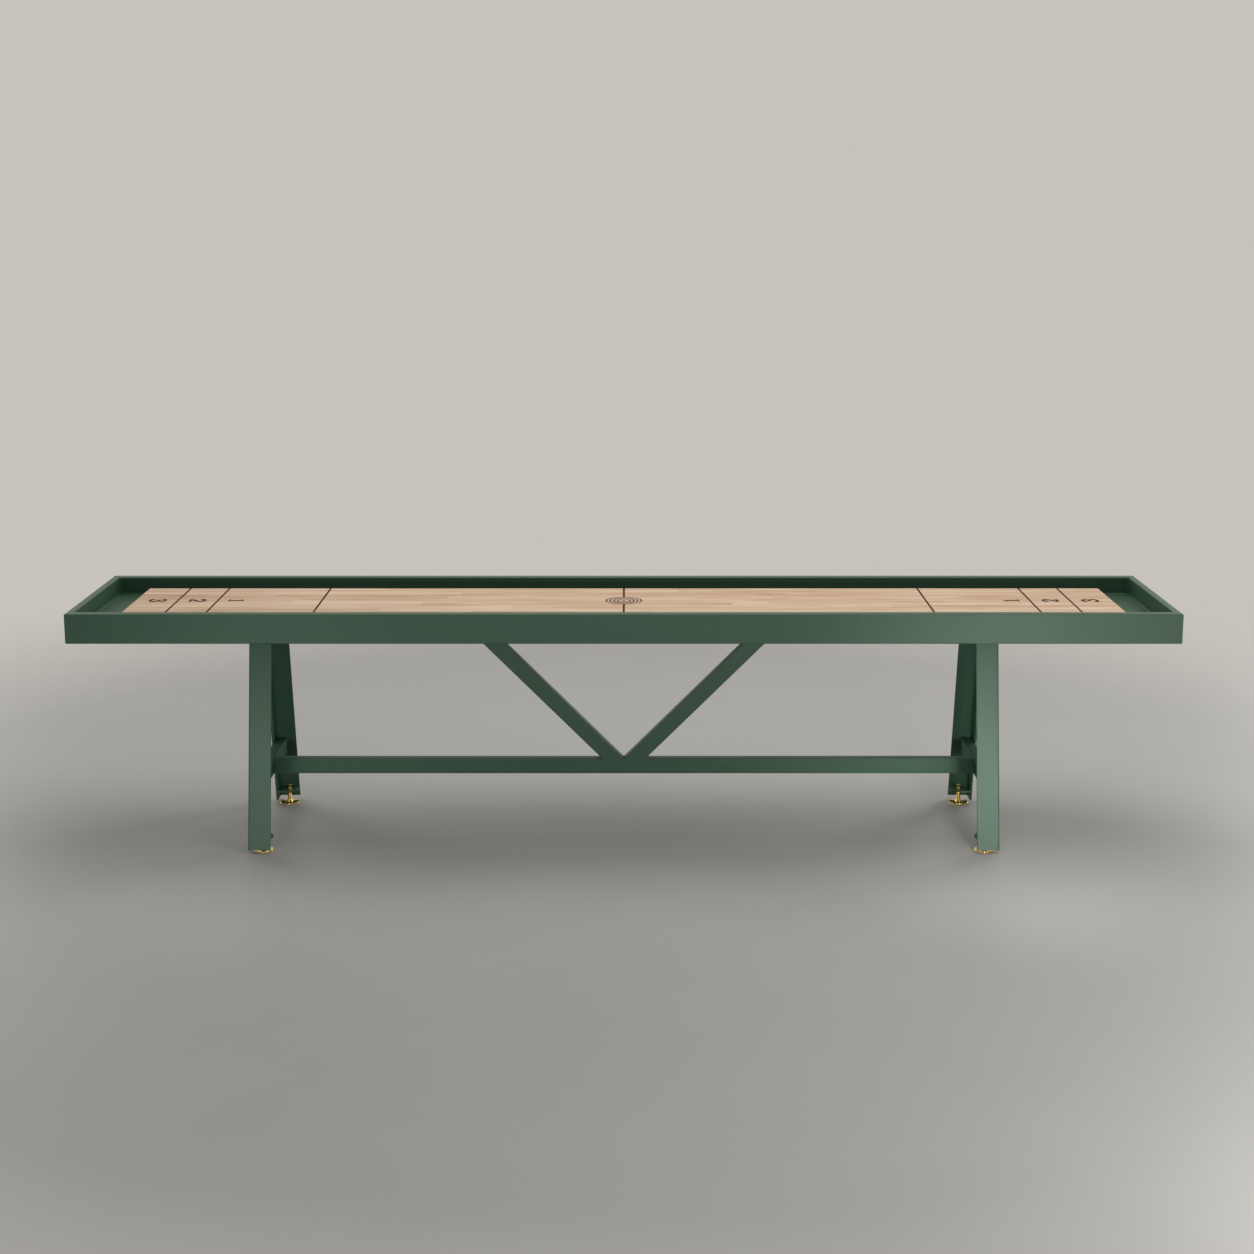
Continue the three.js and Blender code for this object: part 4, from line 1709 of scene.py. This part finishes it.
@dataclass(frozen=True)
class LevellingFoot:
    """A brass foot: the turned pad on the floor, and the threaded stem that turns in it."""

    pad_brass: Material
    stem_brass: Material
    end: End
    row: Row
    slot_turn_degrees: float
    sides: int = 48
    arc_steps: int = 5
    pad_thickness: float = 4.0 * MM
    pad_rim: float = 1.5 * MM
    pad_chamfer: float = 0.5 * MM
    boss_low: float = 12.0 * MM
    boss_high: float = 10.0 * MM
    boss_ease: float = 1.4 * MM
    boss_chamfer: float = 0.4 * MM
    socket: float = 7.3 * MM
    core: float = 7.0 * MM
    tip_chamfer: float = 1.0 * MM
    thread: Thread = Thread()
    neck: float = 0.2 * MM
    head_flare: float = 6.0 * MM
    flare_power: float = 1.4
    head_rim: float = 2.0 * MM
    head_chamfer: float = 0.3 * MM
    slot_width: float = 2.2 * MM
    slot_depth: float = 3.0 * MM
    stem_crease_degrees: float = 50.0

    def build(self) -> None:
        """Makes the pad and the stem."""
        corner = f"{self.end.word}_{self.row.word}"
        pad = Stock(self.pad_brass, f"{corner}_foot", Slot.BRASS)
        stem = Stock(self.stem_brass, f"{corner}_stem", Slot.BRASS)
        low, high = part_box(f"{corner}_foot_pad")
        axis = Vector(((low.x + high.x) / 2, (low.y + high.y) / 2, 0))
        shape = turned(self._pad_profile(high.x - axis.x, high.z), self.sides)
        bmesh.ops.translate(shape, verts=shape.verts, vec=axis)
        pad.make(f"{corner}_foot_turned_pad", shape, axis, stands_for=[f"{corner}_foot_pad"])
        low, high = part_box(f"{corner}_foot_stem")
        shape = self._stem(high.x - axis.x, low.z, high.z)
        bmesh.ops.translate(shape, verts=shape.verts, vec=axis)
        name = f"{corner}_foot_threaded_stem"
        stem.make(name, shape, axis, self.stem_crease_degrees, [f"{corner}_foot_stem"])

    def _pad_profile(self, radius: float, top: float) -> list[Plan]:
        """The pad's half section.

        Args:
            radius: the pad's radius.
            top: the height of its boss.

        Returns:
            Radius and height of each point.
        """
        rim, thick, ease = self.pad_rim, self.pad_thickness, self.boss_ease
        angles = quarter_angles(self.arc_steps)
        profile = [(0.0, 0.0), (radius - self.pad_chamfer, 0.0), (radius, self.pad_chamfer)]
        profile += [(radius - rim + rim * math.cos(a), thick - rim + rim * math.sin(a)) for a in angles]
        for angle in angles:
            spread = self.boss_low + ease * (1 - math.sin(angle))
            profile.append((spread, thick + ease * (1 - math.cos(angle))))
        profile += [
            (self.boss_high, top - self.boss_chamfer), (self.boss_high - self.boss_chamfer, top),
            (self.socket, top), (self.socket, thick), (0.0, thick),
        ]
        return profile

    def _stem(self, head: float, bottom: float, top: float) -> Shape:
        """The stem with its thread, its flared head and the slot across it.

        Args:
            head: the head's radius.
            bottom: the stem's lower end.
            top: the stem's upper end.

        Returns:
            The stem about the Z axis.
        """
        rim_low = top - self.head_rim
        flare_low = rim_low - self.head_flare
        heights = [bottom, bottom + self.tip_chamfer, *self.thread.heights()]
        heights.append(max(flare_low, heights[-1] + self.neck))
        for step in range(1, self.arc_steps + 1):
            height = flare_low + self.head_flare * step / self.arc_steps
            if height > heights[-1]:
                heights.append(height)
        heights += [top - self.head_chamfer, top]
        rings = []
        for height in heights:
            share = max(0.0, (height - flare_low) / self.head_flare)
            radius = self.core + (head - self.core) * min(1.0, share**self.flare_power)
            if height == bottom:
                radius -= self.tip_chamfer
            elif height == top:
                radius -= self.head_chamfer
            turns = [side / self.sides for side in range(self.sides)]
            cuts = [self.thread.cut(height, turn) for turn in turns]
            rings.append([polar(radius - c, math.tau * t, height) for c, t in zip(cuts, turns, strict=True)])
        half, reach = self.slot_width / 2, 2 * head
        low, high = top - self.slot_depth, top + self.slot_depth
        slot = block(Vector((-reach, -half, low)), Vector((reach, half, high)))
        turn = Matrix.Rotation(math.radians(self.slot_turn_degrees), 4, "Z")
        bmesh.ops.transform(slot, matrix=turn, verts=slot.verts)
        return carved(ring_skin(rings), slot)


@dataclass(frozen=True)
class Fasteners:
    """The hexagon bolts and screws, with chamfered heads and washer faces."""

    zinc: Material
    leg_head: float = 6.4 * MM
    strut_head: float = 5.3 * MM
    screw_head: float = 4.0 * MM
    side_steps: int = 8
    chamfer: float = math.radians(28.0)
    washer_share: float = 0.93
    washer_height: float = 0.22 * MM
    face_share: float = 0.5
    shank_share: float = 0.6
    tip_chamfer: float = 1.0 * MM
    tip_share: float = 0.86

    def build(self, names: Iterable[str]) -> None:
        """Makes every fastener among the given nodes.

        Args:
            names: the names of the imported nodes.
        """
        stock = Stock(self.zinc, slot=Slot.ZINC_STEEL)
        for name in sorted(names):
            if "bolt" in name or "screw" in name:
                shape, origin = self._fastener(name)
                stock.make(f"{name}_hex", shape, origin, stands_for=[name])

    def _fastener(self, name: str) -> tuple[Shape, Vector]:
        """One fastener in the place of its node.

        Args:
            name: the node's name.

        Returns:
            The shape and the point under its head.
        """
        low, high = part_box(name)
        origin = (low + high) / 2
        head = self.screw_head if "screw" in name else self.leg_head
        if "strut" in name:
            head = self.strut_head
        if "stretcher" in name:
            outward = math.copysign(1, origin.x)
            origin.x = (high.x if outward > 0 else low.x) - outward * head
            length = high.x - low.x - head
            turn = Matrix.Rotation(-outward * QUARTER_TURN, 4, "Y")
        else:
            origin.z = low.z + head
            length = high.z - low.z - head
            turn = Matrix.Identity(4)
        shape = self._bolt((high.y - low.y) / 2, head, length)
        bmesh.ops.transform(shape, matrix=Matrix.Translation(origin) @ turn, verts=shape.verts)
        return shape, origin

    def _bolt(self, apothem: float, head: float, length: float) -> Shape:
        """A hexagon bolt with its head below zero and its shank above.

        Args:
            apothem: half the distance across the head's flats.
            head: the head's height.
            length: the shank's length.

        Returns:
            The bolt.
        """
        count = 6 * self.side_steps
        inner, shank, seat = apothem * self.washer_share, apothem * self.shank_share, -self.washer_height
        columns = []
        for step in range(count):
            angle = math.tau * step / count
            from_flat = (angle + math.pi / 6) % (math.pi / 3) - math.pi / 6
            corner = apothem / math.cos(from_flat)
            cut = (corner - inner) * math.tan(self.chamfer)
            profile = (
                (inner * self.face_share, -head), (inner, -head), (corner, -head + cut), (corner, seat),
                (inner, seat), (inner, 0.0), (shank, 0.0), (shank, length - self.tip_chamfer),
                (shank * self.tip_share, length),
            )
            columns.append([polar(radius, angle, height) for radius, height in profile])
        return ring_skin([list(ring) for ring in zip(*columns, strict=True)])


@dataclass(frozen=True)
class Lamp:
    """A soft rectangular lamp: its place, what it points at, its size, its power and its spread."""

    name: str
    place: Spot
    target: Spot
    size: Plan
    watts: float
    spread_degrees: float = 180.0

    def hang(self) -> None:
        """Hangs the lamp, unseen by the camera."""
        data = bpy.data.lights.new(self.name, "AREA")
        data.shape = "RECTANGLE"
        data.size, data.size_y = self.size
        data.energy = self.watts
        data.spread = math.radians(self.spread_degrees)
        lamp = bpy.data.objects.new(self.name, data)
        lamp.location = self.place
        aim = Vector(self.target) - Vector(self.place)
        lamp.rotation_euler = aim.to_track_quat("-Z", "Y").to_euler()
        lamp.visible_camera = False
        bpy.context.scene.collection.objects.link(lamp)


@dataclass(frozen=True)
class Studio:
    """The camera of the photograph's view, the pale floor and the soft lamps."""

    frame_pixels: float = 1254.0
    focal_pixels: float = 2127.0
    sensor: float = 36.0
    camera_place: Spot = (0.0107, -7.166, 2.187)
    pitch_down_degrees: float = 11.65
    floor_size: float = 40.0
    backdrop: Colour = paint(199, 195, 188)
    world_strength: float = 0.22
    lamps: tuple[Lamp, ...] = (
        Lamp("overhead", (0.5, 0.4, 4.2), (0.3, 0.2, 0.8), (6.0, 3.2), 109.0),
        Lamp("low_front", (-0.5, -5.4, 0.5), (-0.3, 0.0, 0.5), (4.6, 0.6), 50.0),
        Lamp("right_front", (2.3, -3.4, 0.55), (1.4, -0.3, 0.6), (1.3, 0.5), 25.0),
        Lamp("right_leg", (1.42, -2.3, 0.7), (1.22, -0.28, 0.28), (0.3, 0.3), 1.5, 45.0),
        Lamp("left_leg", (-1.42, -2.3, 0.7), (-1.22, -0.28, 0.28), (0.3, 0.3), 0.5, 45.0),
        Lamp("right_rear", (4.8, 4.2, 2.1), (0.0, 0.1, 0.6), (2.4, 1.8), 110.0),
        Lamp("left_rear", (-4.8, 4.2, 2.1), (0.0, 0.1, 0.6), (2.4, 1.8), 70.0),
    )

    def build(self) -> None:
        """Makes the camera, the floor, the world and the lamps."""
        self._camera()
        self._floor()
        self._world()
        for lamp in self.lamps:
            lamp.hang()

    def _camera(self) -> None:
        """Sets the camera where the photograph was taken from."""
        data = bpy.data.cameras.new("photograph_view")
        data.sensor_width = self.sensor
        data.lens = self.focal_pixels / self.frame_pixels * self.sensor
        camera = bpy.data.objects.new("photograph_view", data)
        camera.location = self.camera_place
        camera.rotation_euler = (math.radians(90 - self.pitch_down_degrees), 0, 0)
        bpy.context.scene.collection.objects.link(camera)
        bpy.context.scene.camera = camera

    def _floor(self) -> None:
        """Lays the floor under the feet."""
        half = self.floor_size / 2
        shape = bmesh.new()
        corners = ((-half, -half), (half, -half), (half, half), (-half, half))
        shape.faces.new([shape.verts.new((x, y, 0)) for x, y in corners])
        mesh = bpy.data.meshes.new("studio_floor")
        shape.to_mesh(mesh)
        shape.free()
        mesh.materials.append(StudioFloor().build())
        floor = bpy.data.objects.new("studio_floor", mesh)
        bpy.context.scene.collection.objects.link(floor)
        LOG.info("studio_floor: laid")

    def _world(self) -> None:
        """Lights the scene evenly, and shows a pale backdrop to the camera and in reflections."""
        world = bpy.data.worlds.new("pale_studio")
        bpy.context.scene.world = world
        world.use_nodes = True
        sheet = NodeSheet(world.node_tree)
        seen = sheet.light_path("Is Camera Ray").most(sheet.light_path("Is Glossy Ray"))
        seen = seen.most(sheet.light_path("Is Transmission Ray"))
        glow = {"Color": WHITE, "Strength": self.world_strength}
        unseen_light = sheet.wire("ShaderNodeBackground", {}, glow)
        backdrop = sheet.wire("ShaderNodeBackground", {}, {"Color": self.backdrop})
        both = sheet.wire("ShaderNodeMixShader", {}, {0: seen, 1: unseen_light, 2: backdrop})
        sheet.node("ShaderNodeOutputWorld", {}, {"Surface": both})


def main() -> None:
    """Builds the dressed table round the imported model, piece by piece."""
    logging.basicConfig(level=logging.INFO, format="%(name)s: %(message)s")
    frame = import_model()
    bpy.context.scene.view_settings.view_transform = "Standard"
    Studio().build()
    coat, zinc = PowderCoat().build(), ZincPlate().build()
    matt_coat = PowderCoat("matt_green_powder_coat", roughness=0.62, specular=0.12).build()
    pad_brass = PolishedBrass("polished_brass", roughness=0.06).build()
    stem_brass = PolishedBrass("turned_brass", roughness=0.2).build()
    sizes = SteelSizes.of_frame()
    SteelFrame(coat, matt_coat, zinc, frame["nodes"]).dress()
    steel = Stock(coat, slot=Slot.GREEN_COAT)
    TrayWelds(steel, sizes).build()
    FrameWelds(steel, sizes).build()
    PlayingBoard(LacqueredMaple()).build()
    line_stain = Stain("brown_score_stain", paint(46, 31, 23), paint(70, 49, 36)).build()
    digit_stain = Stain("black_digit_stain", paint(28, 24, 22), paint(48, 38, 31)).build()
    BoardMarks(line_stain, digit_stain).build()
    for (end, row), slot_turn in zip(product(End, Row), SLOT_TURNS_DEGREES, strict=True):
        LevellingFoot(pad_brass, stem_brass, end, row, slot_turn).build()
    Fasteners(zinc).build(frame["nodes"])


if __name__ == "__main__":
    main()
